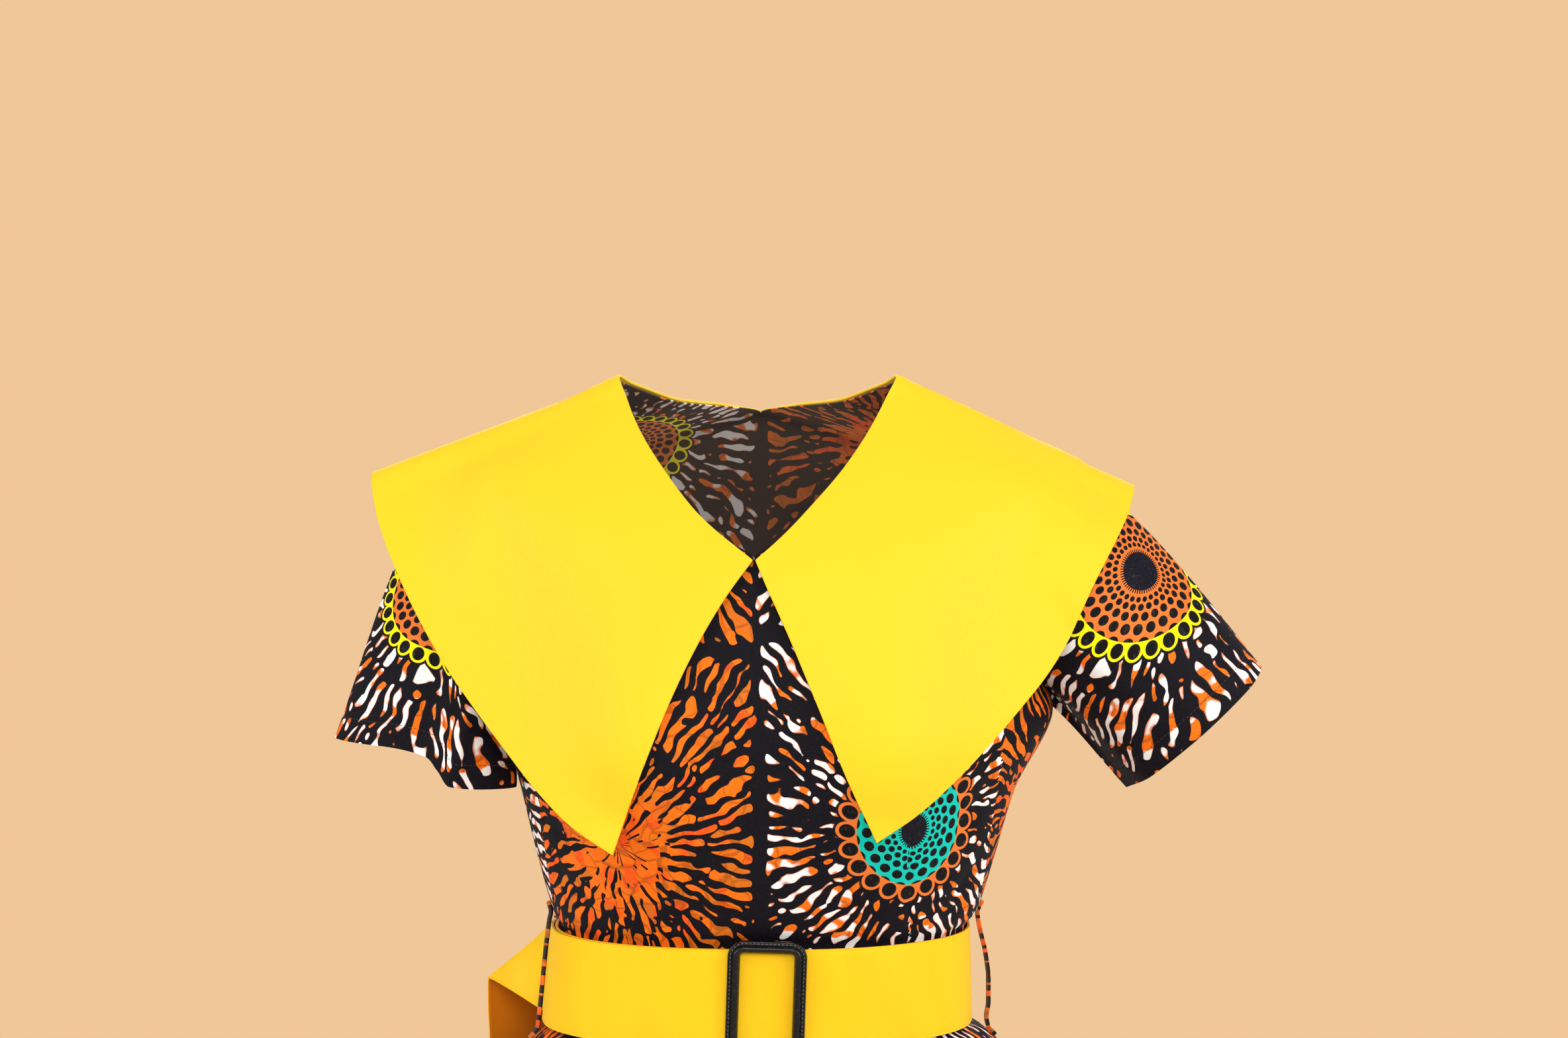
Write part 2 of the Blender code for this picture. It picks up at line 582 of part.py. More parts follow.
def lift_cells(grid, body):
    # The same for the middle of each cell, whose four corners move together
    for row in range(len(grid) - 1):
        for column in range(1, len(grid[0]) - 1):
            corners = (grid[row][column], grid[row][column + 1],
                       grid[row + 1][column + 1], grid[row + 1][column])
            middle = sum(corners, Vector((0.0, 0.0, 0.0))) / 4.0
            move = clear_of(middle, lift_way(row + 0.5), COLLAR_LIFT, body)
            for corner in corners:
                corner += move


def relax(grid):
    # Evens out the inner points between their neighbours, but keeps the line over the shoulder straight
    moved = {}
    for row in range(1, len(grid) - 1):
        if row == COLLAR_FRONT_ROWS:
            continue
        for column in range(1, len(grid[0]) - 1):
            around = grid[row - 1][column] + grid[row + 1][column]
            around += grid[row][column - 1] + grid[row][column + 1]
            moved[(row, column)] = grid[row][column].lerp(around / 4.0, 0.5)
    for (row, column), place in moved.items():
        grid[row][column] = place


def belt_point(degrees, share_down, lift):
    # A point of the strap's inner face, lifted off the waist by the given amount
    angle = math.radians(degrees)
    rings = zip(BELT_TOP_RING, BELT_BOTTOM_RING)
    half = [top + (bottom - top) * share_down + lift for top, bottom in rings]
    x, y = ring_point(angle, *half, SQUARENESS)
    return Vector((x, y, BELT_TOP + (BELT_BOTTOM - BELT_TOP) * share_down))


def belt_lift(degrees):
    # The strap climbs onto the centre bar on its way into the buckle and stays on top after it
    share = min(1.0, max(0.0, (LIFT_FROM - degrees) / (LIFT_FROM - LIFT_TO)))
    return OVERLAP_LIFT * (3.0 * share ** 2 - 2.0 * share ** 3)


def strip_solid(name, stations, finish):
    # A closed solid from stations, each a row of points on one face and the same on the other
    count = len(stations[0][0])
    points = []
    for inner, outer in stations:
        points += list(inner) + list(outer)
    step = 2 * count
    faces = []
    for station in range(len(stations) - 1):
        base = station * step
        for i in range(count - 1):
            faces.append([base + i, base + i + 1, base + step + i + 1, base + step + i])
            out = base + count + i
            faces.append([out, out + step, out + step + 1, out + 1])
        first = [base, base + step, base + step + count, base + count]
        last = [base + count - 1, base + 2 * count - 1, base + step + 2 * count - 1, base + step + count - 1]
        faces.append(first)
        faces.append(last)
    last_base = (len(stations) - 1) * step
    for i in range(count - 1):
        faces.append([i, i + count, i + count + 1, i + 1])
        end = last_base + i
        faces.append([end, end + 1, end + 1 + count, end + count])
    item = make_object(name, points, faces, finish)
    mesh = bmesh.new()
    mesh.from_mesh(item.data)
    bmesh.ops.recalc_face_normals(mesh, faces=mesh.faces)
    mesh.to_mesh(item.data)
    mesh.free()
    return item


def make_belt():
    columns = round((BELT_START - BELT_END) / BELT_STEP)
    stations = []
    for column in range(columns + 1):
        degrees = BELT_START + (BELT_END - BELT_START) * column / columns
        lift = belt_lift(degrees)
        inner = [belt_point(degrees, share, lift) for share in (0.0, 0.5, 1.0)]
        outer = [belt_point(degrees, share, lift + STRAP_WALL) for share in (0.0, 0.5, 1.0)]
        stations.append((inner, outer))
    strip_solid("belt_band", stations, STRAP_YELLOW)


def make_tail():
    # The strap's free end: it leaves the left carrier, turns over a slanting fold and hangs
    middle = OVERLAP_LIFT + 0.5 * STRAP_WALL
    start_low = belt_point(BELT_END, 1.0, middle)
    start_high = belt_point(BELT_END, 0.0, middle)
    low = [start_low + Vector((0.0, back, 0.0)) for back in TAIL_LEAVES]
    high = [start_high + Vector((0.0, back, 0.0)) for back in TAIL_LEAVES]
    low += [Vector((s.low_x, s.low_y, s.low_z)) for s in TAIL_STATIONS]
    high += [Vector((s.high_x, s.high_y, s.high_z)) for s in TAIL_STATIONS]
    keys = list(range(len(low)))
    grid = []
    for column in range(TAIL_COLUMNS + 1):
        at = (len(low) - 1) * column / TAIL_COLUMNS
        bottom = Vector([smooth_value(keys, [p[axis] for p in low], at) for axis in range(3)])
        top = Vector([smooth_value(keys, [p[axis] for p in high], at) for axis in range(3)])
        grid.append([bottom.lerp(top, row / TAIL_ROWS) for row in range(TAIL_ROWS + 1)])
    skin = Skin()
    skin.add("belt_tail", grid, turned=False)
    normals = skin.normals()
    raised = [place + normals[i] * (0.5 * STRAP_WALL) for i, place in enumerate(skin.points)]
    points, walls = thicken(raised, normals, skin.panels["belt_tail"], STRAP_WALL, {})
    make_object("belt_tail", points, walls, STRAP_YELLOW)


def rounded_outline(width, height, corner, steps):
    # Points and inward directions round a rectangle with round corners
    outline = []
    for quarter_turn, (sx, sz) in enumerate(((1, 1), (-1, 1), (-1, -1), (1, -1))):
        for step in range(steps + 1):
            angle = math.radians(90.0 * (quarter_turn + step / steps))
            across = math.cos(angle)
            up = math.sin(angle)
            x = sx * (0.5 * width - corner) + corner * across
            z = sz * (0.5 * height - corner) + corner * up
            outline.append((x, z, -across, -up))
    return outline


def make_buckle():
    # The frame is its section carried round the outline; the bar joins it by a boolean union
    outline = rounded_outline(BUCKLE_WIDTH, BUCKLE_HEIGHT, BUCKLE_CORNER, CORNER_STEPS)
    points = []
    for x, z, inward_x, inward_z in outline:
        for inset, height in BUCKLE_SECTION:
            points.append(Vector((x + inward_x * inset, -height, z + inward_z * inset)))
    size = len(BUCKLE_SECTION)
    faces = []
    for i in range(len(outline)):
        after = (i + 1) % len(outline)
        for j in range(size):
            other = (j + 1) % size
            faces.append([i * size + j, i * size + other, after * size + other, after * size + j])
    frame = make_object("belt_buckle", points, faces, BUCKLE_BLACK)
    mesh = bmesh.new()
    mesh.from_mesh(frame.data)
    bmesh.ops.recalc_face_normals(mesh, faces=mesh.faces)
    mesh.to_mesh(frame.data)
    mesh.free()
    frame.location = BUCKLE_CENTRE
    frame.rotation_euler = (0.0, BUCKLE_LEAN, 0.0)
    join_bar(frame)


def join_bar(frame):
    # The centre bar passes behind the strap, with both ends brought forward into the frame
    end = 0.5 * BUCKLE_HEIGHT - BAR_INSET
    strap_half = 0.5 * (BELT_TOP - BELT_BOTTOM) + STRAP_CLEARANCE
    back = BAR_BACK - BUCKLE_CENTRE.y
    front = BAR_FRONT - BUCKLE_CENTRE.y
    section = (
        (back, end),
        (-BAR_REACH, end),
        (-BAR_REACH, strap_half),
        (front, strap_half),
        (front, -strap_half),
        (-BAR_REACH, -strap_half),
        (-BAR_REACH, -end),
        (back, -end),
    )
    bar = extrude_section("bar_cutter", section, BAR_WIDTH, BUCKLE_BLACK)
    bar.parent = frame
    bar.hide_render = True
    bar.display_type = "WIRE"
    union = frame.modifiers.new("centre bar", "BOOLEAN")
    union.operation = "UNION"
    union.solver = "EXACT"
    union.object = bar


def extrude_section(name, section, width, finish):
    # A prism along X with the given outline in Y and Z
    count = len(section)
    points = [Vector((-0.5 * width, y, z)) for y, z in section]
    points += [Vector((0.5 * width, y, z)) for y, z in section]
    faces = [list(range(count)), [i + count for i in reversed(range(count))]]
    for i in range(count):
        after = (i + 1) % count
        faces.append([i, i + count, after + count, after])
    item = make_object(name, points, faces, finish)
    mesh = bmesh.new()
    mesh.from_mesh(item.data)
    bmesh.ops.recalc_face_normals(mesh, faces=mesh.faces)
    bmesh.ops.triangulate(mesh, faces=[face for face in mesh.faces if len(face.verts) > 4])
    mesh.to_mesh(item.data)
    mesh.free()
    return item


def make_loop(name, table, steps):
    # A belt carrier: a narrow strip along a curve in X and Z
    route = [Vector((point.x, LOOP_Y, point.z)) for point in table]
    places = [along(route, step / steps) for step in range(steps + 1)]
    side = Vector((0.0, 0.5 * LOOP_WIDTH, 0.0))
    stations = []
    for i, place in enumerate(places):
        before = places[max(0, i - 1)]
        after = places[min(steps, i + 1)]
        outward = (after - before).cross(side).normalized() * (0.5 * LOOP_WALL)
        stations.append(((place - outward - side, place - outward + side),
                         (place + outward - side, place + outward + side)))
    strip_solid(name, stations, PRINT_BLACK)


def main():
    clear_scene()
    front = {side: bodice_grid(FRONT_ROWS, side, True) for side in (-1, 1)}
    back = {side: bodice_grid(BACK_ROWS, side, False) for side in (-1, 1)}

    body = Skin()
    body.add("bodice_front", front[-1], turned=True)
    body.add("bodice_front", front[1], turned=False)
    body.add("bodice_back_left", back[-1], turned=False)
    body.add("bodice_back_right", back[1], turned=True)
    for side, name, cut in ((-1, "sleeve_left", LEFT_SLEEVE), (1, "sleeve_right", RIGHT_SLEEVE)):
        loop = armhole(front[side], back[side])
        body.add(name, sleeve_grid(loop, cut), turned=side > 0)
    make_panels(body, WALL, PRINT_ORANGE)

    tree = body.tree()
    for side, name, edge in ((-1, "collar_left", LEFT_COLLAR_FRONT), (1, "collar_right", RIGHT_COLLAR_FRONT)):
        collar = Skin()
        collar.add(name, collar_grid(front[side], back[side], side, edge, tree), turned=side > 0)
        make_panels(collar, COLLAR_WALL, PLAIN_YELLOW)

    rings = skirt_grid()
    half = SKIRT_COLUMNS // 2
    skirt = Skin()
    skirt.add("skirt_front", [line[:half + 1] for line in rings], turned=True)
    skirt.add("skirt_back", [line[half:] + line[:1] for line in rings], turned=True)
    make_panels(skirt, WALL, PRINT_ORANGE)

    make_belt()
    make_tail()
    make_buckle()
    make_loop("carrier_left", LEFT_LOOP, 16)
    make_loop("carrier_right", RIGHT_LOOP, 16)


main()
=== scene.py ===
# Wax print dress with a wide yellow collar: cloth, print, belt and stitching over the solid part.
# Metres, +Z up. The front faces -Y and +X is the viewer's right. The long tables of places and creases are in
# millimetres and are divided where they are read.
import math

import bpy
import numpy as np
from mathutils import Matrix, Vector
from mathutils.bvhtree import BVHTree


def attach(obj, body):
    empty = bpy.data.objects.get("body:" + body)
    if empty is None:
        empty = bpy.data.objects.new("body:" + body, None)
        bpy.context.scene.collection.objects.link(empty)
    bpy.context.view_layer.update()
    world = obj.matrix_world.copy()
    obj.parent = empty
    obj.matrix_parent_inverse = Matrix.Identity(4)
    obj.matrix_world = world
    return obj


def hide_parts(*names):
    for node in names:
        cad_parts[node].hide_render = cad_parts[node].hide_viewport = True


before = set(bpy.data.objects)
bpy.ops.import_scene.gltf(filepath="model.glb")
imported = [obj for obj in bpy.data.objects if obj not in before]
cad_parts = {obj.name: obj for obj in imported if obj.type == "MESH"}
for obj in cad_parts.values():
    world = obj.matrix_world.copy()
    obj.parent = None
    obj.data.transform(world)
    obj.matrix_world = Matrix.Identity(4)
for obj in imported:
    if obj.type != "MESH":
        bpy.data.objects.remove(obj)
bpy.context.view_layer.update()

fine = 8      # mesh cells for each step of the tables
squareness = 2.3                   # 2 makes a ring an ellipse, more makes it boxier


# ---- small helpers for curves and grids

def metres(rows):
    return np.array(rows) / 1000.0


def hermite(t, start, end, leave, arrive):
    # from start to end, along the given ways at both ends
    return (start * (2 * t ** 3 - 3 * t ** 2 + 1) + leave * (t ** 3 - 2 * t ** 2 + t)
            + end * (3 * t ** 2 - 2 * t ** 3) + arrive * (t ** 3 - t ** 2))


def smoothValue(keys, values, at):
    # a cubic through the values that never overshoots them
    keys = np.asarray(keys, float)
    order = np.argsort(keys)
    keys = keys[order]
    values = np.asarray(values, float)[order]
    slopes = np.diff(values) / np.diff(keys)
    before, after = slopes[:-1], slopes[1:]
    total = np.where(before * after > 0.0, before + after, 1.0)
    inner = np.where(before * after > 0.0, 2.0 * before * after / total, 0.0)
    tangents = np.concatenate([slopes[:1], inner, slopes[-1:]])
    at = np.clip(at, keys[0], keys[-1])
    i = np.clip(np.searchsorted(keys, at, side="right") - 1, 0, len(keys) - 2)
    span = keys[i + 1] - keys[i]
    return hermite((at - keys[i]) / span, values[i], values[i + 1],
                   span * tangents[i], span * tangents[i + 1])


def smoothLine(keys, points, at):
    return np.stack([smoothValue(keys, values, at) for values in np.transpose(points)], -1)


def lengthsAlong(points):
    return np.concatenate([[0.0], np.cumsum(np.linalg.norm(np.diff(points, axis=0), axis=1))])


def along(points, shares):
    # places at shares of the length of a smooth curve through the points
    lengths = lengthsAlong(points)
    return smoothLine(lengths, points, np.asarray(shares) * lengths[-1])


def between(at, keys, points):
    return np.array([np.interp(at, keys, values) for values in np.transpose(points)])


def runLength(grid, axis):
    # distance from the first line of the grid, along the cloth
    steps = np.linalg.norm(np.diff(grid, axis=axis), axis=-1)
    start = np.zeros_like(np.take(steps, [0], axis=axis))
    return np.concatenate([start, np.cumsum(steps, axis=axis)], axis=axis)


def aboveHem(grid):
    return runLength(grid[::-1], 0)[::-1]


def gridNormals(grid, turned):
    normal = np.cross(np.gradient(grid, axis=1), np.gradient(grid, axis=0))
    normal /= np.maximum(np.linalg.norm(normal, axis=-1, keepdims=True), 1e-12)
    return -normal if turned else normal


def spotOn(grid, normals, x, z, facing):
    # the grid's place seen at x and z from the front (facing -1) or the back (1)
    far = np.hypot(grid[..., 0] - x, grid[..., 2] - z) + np.where(normals[..., 1] * facing > -0.15, 0.0, 1.0)
    return np.unravel_index(np.argmin(far), far.shape)


def dent(grid, turned, creases, facing=-1, edgeFade=2.0):
    # soft troughs, or ridges where the depth is negative, along listed short lines; a row has x and z
    # at three places, its width and depth, then the side it faces and its taper where they differ
    normals = gridNormals(grid, turned)
    move = np.zeros(grid.shape[:2])
    for number, row in enumerate(creases):
        spots, (wide, deep) = np.reshape(metres(row[:6]), (3, 2)), metres(row[6:8])
        side, taper = (*row[8:], *(facing, 0.5)[len(row) - 8:])
        line = [grid[spotOn(grid, normals, *spot, side)] for spot in spots]
        lengths = lengthsAlong(line)
        best = np.full(grid.shape[:2], 9.0)
        share = np.zeros(grid.shape[:2])
        for i, (a, b) in enumerate(zip(line, line[1:])):
            step = b - a
            t = np.clip(((grid - a) @ step) / max(step @ step, 1e-12), 0.0, 1.0)
            far = np.linalg.norm(grid - (a + t[..., None] * step), axis=-1)
            run = lengths[i] + t * (lengths[i + 1] - lengths[i])
            share = np.where(far < best, run / lengths[-1], share)
            best = np.minimum(far, best)
        uneven = 1.0 + 0.22 * np.sin(9.0 * share + 1.7 * number)
        ends = np.sin(np.pi * np.clip(share, 0.0, 1.0)) ** taper
        move -= deep * uneven * ends * np.exp(-(best / wide) ** 2)
    for axis, count in enumerate(grid.shape[:2]):
        inward = np.minimum(np.arange(count), np.arange(count)[::-1]) / (edgeFade * fine / 8 + 1e-6)
        move *= np.clip(inward, 0.0, 1.0).reshape((-1, 1) if axis == 0 else (1, -1))
    return grid + normals * move[..., None]


def withRidge(shape, grid, turned, up, settings):
    # the hem's fold shows as a faint ridge along its stitches
    ridge = settings["hemRidge"] * np.exp(-((up - settings["hemUp"]) / settings["ridgeWide"]) ** 2)
    shape = shape - gridNormals(grid, turned) * ridge[..., None]
    shape[:, -1] = shape[:, 0]
    return shape


def gridQuads(grid, start):
    # the grid's faces, its first point numbered start
    number = start + np.arange(grid.shape[0] * grid.shape[1]).reshape(grid.shape[:2])
    return np.stack([number[:-1, :-1], number[:-1, 1:], number[1:, 1:], number[1:, :-1]], -1).reshape(-1, 4)


def addItem(name, data):
    item = bpy.data.objects.new(name, data)
    bpy.context.scene.collection.objects.link(item)
    return item


def addMesh(name, points, faces, flats, material, sharp):
    mesh = bpy.data.meshes.new(name)
    mesh.from_pydata(points, [], faces)
    mesh.uv_layers.new(name="cut").uv.foreach_set("vector", flats.astype(np.float32).reshape(-1))
    mesh.update()
    mesh.shade_smooth()
    mesh.set_sharp_from_angle(angle=math.radians(sharp))
    mesh.materials.append(material)
    piece = addItem(name, mesh)
    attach(piece, "root")
    return piece


def clothPiece(name, node, patches, wall, material, rounded=0.0):
    # a closed thin wall on grids of points, its UVs in metres of flat cloth; a patch's flat places may go on
    # with pairs, the cloth a dart takes and whether they lie beyond it, so the print breaks along an edge
    corners, faces, flats = [], [], []
    count = 0
    for grid, flat, turned in patches:
        quad = gridQuads(grid, count)
        corners.append(grid.reshape(-1, 3))
        flat = flat.reshape(len(corners[-1]), -1)[quad - count]
        for k in range(2, flat.shape[-1], 2):
            flat[..., 0] += flat[..., k] * flat[:, :1, k + 1]
        order = slice(None, None, -1 if turned else 1)
        faces.append(quad[:, order])
        flats.append(flat[:, order, :2])
        count += len(corners[-1])
    corners, faces, flats = np.concatenate(corners), np.concatenate(faces), np.concatenate(flats)
    _, first, same = np.unique(np.round(corners, 5), axis=0, return_index=True, return_inverse=True)
    points = corners[first]
    quads = same.reshape(-1)[faces]
    a, b, c, d = (points[quads[:, k]] for k in range(4))
    normals = np.zeros_like(points)
    for k in range(4):
        np.add.at(normals, quads[:, k], np.cross(c - a, d - b))
    normals /= np.maximum(np.linalg.norm(normals, axis=1, keepdims=True), 1e-12)
    total = len(points)
    starts, ends = quads.reshape(-1), np.roll(quads, -1, axis=1).reshape(-1)
    flatStarts, flatEnds = flats.reshape(-1, 2), np.roll(flats, -1, axis=1).reshape(-1, 2)
    rim = ~np.isin(starts * total + ends, ends * total + starts)
    s, e = starts[rim], ends[rim]
    rims = np.stack([e, s, s + total, e + total], -1)
    rimFlats = np.stack([flatEnds[rim], flatStarts[rim], flatStarts[rim], flatEnds[rim]], 1)
    piece = addMesh(name, np.concatenate([points, points - normals * wall]).tolist(),
                    np.concatenate([quads, quads[:, ::-1] + total, rims]).tolist(),
                    np.concatenate([flats, flats[:, ::-1], rimFlats]), material, 55.0)
    inside = piece.data.attributes.new("inside", "FLOAT", "POINT")
    inside.data.foreach_set("value", np.repeat([0.0, 1.0], total).astype(np.float32))
    if rounded:
        soft = piece.modifiers.new("rounded edge", "BEVEL")
        soft.width = rounded
        soft.segments = 2
        soft.limit_method = "ANGLE"
        soft.angle_limit = math.radians(60.0)
    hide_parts(node)
    return piece


# ---- shader graphs written as sums

def sign(operation):
    return lambda *terms: terms[0].graph.math(operation, *terms)


class Term:
    # one output of a node, which takes part in sums
    def __init__(self, graph, socket):
        self.graph, self.socket = graph, socket

    __add__ = __radd__ = sign("ADD")
    __mul__ = __rmul__ = sign("MULTIPLY")
    __sub__, __truediv__, __mod__ = sign("SUBTRACT"), sign("DIVIDE"), sign("FLOORED_MODULO")
    __floor__, __abs__ = sign("FLOOR"), sign("ABSOLUTE")

    def __rsub__(self, other):
        return self.graph.math("SUBTRACT", other, self)


class Graph:
    def __init__(self, name):
        self.material = bpy.data.materials.new(name)
        self.material.use_nodes = True
        self.tree = self.material.node_tree
        self.shader = self.tree.nodes["Principled BSDF"]
        self.count = 0

    def put(self, values, sockets):
        for key, value in dict(values).items():
            if isinstance(value, Term):
                self.tree.links.new(value.socket, sockets[key])
            else:
                sockets[key].default_value = value

    def add(self, kind, output=0, values=(), **settings):
        node = self.tree.nodes.new(kind)
        node.location = (-2600 + 180 * (self.count % 14), 600 - 220 * (self.count // 14))
        node.hide = True
        self.count += 1
        for key, value in settings.items():
            setattr(node, key, value)
        self.put(values, node.inputs)
        return Term(self, node.outputs[output])

    def math(self, operation, *values):
        return self.add("ShaderNodeMath", 0, enumerate(values), operation=operation)

    def least(self, first, second):
        return self.math("MINIMUM", first, second)

    def root(self, first, second):
        return self.math("SQRT", first + second)

    def ease(self, value, low, high):
        return self.add("ShaderNodeMapRange", "Result", {"Value": value, "From Min": low, "From Max": high},
                        interpolation_type="SMOOTHSTEP")

    def place(self, x, y, z=0.0):
        return self.add("ShaderNodeCombineXYZ", 0, enumerate((x, y, z)))

    def flat(self):
        # the cloth's own coordinates in metres
        x = self.add("ShaderNodeSeparateXYZ", 0, {0: self.add("ShaderNodeUVMap", uv_map="cut")})
        return x, Term(self, x.socket.node.outputs[1])

    def noise(self, place, scale, detail=1.0):
        return self.add("ShaderNodeTexNoise", "Fac", {"Vector": place, "Scale": scale, "Detail": detail})

    def cracks(self, place, scale):
        return self.add("ShaderNodeTexVoronoi", "Distance", {"Vector": place, "Scale": scale},
                        feature="DISTANCE_TO_EDGE")

    def mix(self, factor, first, second):
        return self.add("ShaderNodeMix", 2, {0: factor, 6: first, 7: second}, data_type="RGBA")

    def bump(self, height, strength, distance):
        normal = self.add("ShaderNodeBump", 0, {"Height": height, "Strength": strength, "Distance": distance})
        self.put({"Normal": normal}, self.shader.inputs)

    def finish(self, colour, roughness, sheen=0.0, specular=0.5):
        self.put({"Base Color": colour, "Roughness": roughness, "Sheen Weight": sheen, "Sheen Roughness": 0.4,
                  "Specular IOR Level": specular}, self.shader.inputs)
        return self.material


def rgb(red, green, blue):
    # screen values 0 to 255 to a linear colour
    def straight(value):
        value /= 255.0
        return value / 12.92 if value <= 0.04045 else ((value + 0.055) / 1.055) ** 2.4
    return (straight(red), straight(green), straight(blue), 1.0)


printed = {
    "across": 0.2,          # cells of the repeat
    "down": 0.236,
    "black": rgb(16, 11, 13),
    "navy": rgb(17, 14, 26),
    "orange": rgb(254, 116, 6),
    "redOrange": rgb(255, 72, 14),
    "brown": rgb(160, 76, 8),
    "ochre": rgb(206, 112, 18),
    "rimOrange": rgb(226, 110, 16),
    "rust": rgb(238, 122, 48),
    "white": rgb(248, 244, 240),
    "teal": rgb(8, 200, 182),
    "yellow": rgb(255, 240, 2),
    "tiers": ((0.066, 40.0), (0.106, 22.0), (9.0, 34.0)),   # how far each tier of streaks runs, streaks added
    "spokes": (28.0, 22.0),   # the yellow-edged roundels, then the teal ones
    "grown": (1.0, 1.04),
    "scallops": 0.0446,
    "lobes": (0.0053, 0.0064),
    "ovals": ((0.0036, 0.0043), (0.0046, 0.0049)),
    "dotsFrom": 0.015,
    "dotsGrow": 1.25,
}


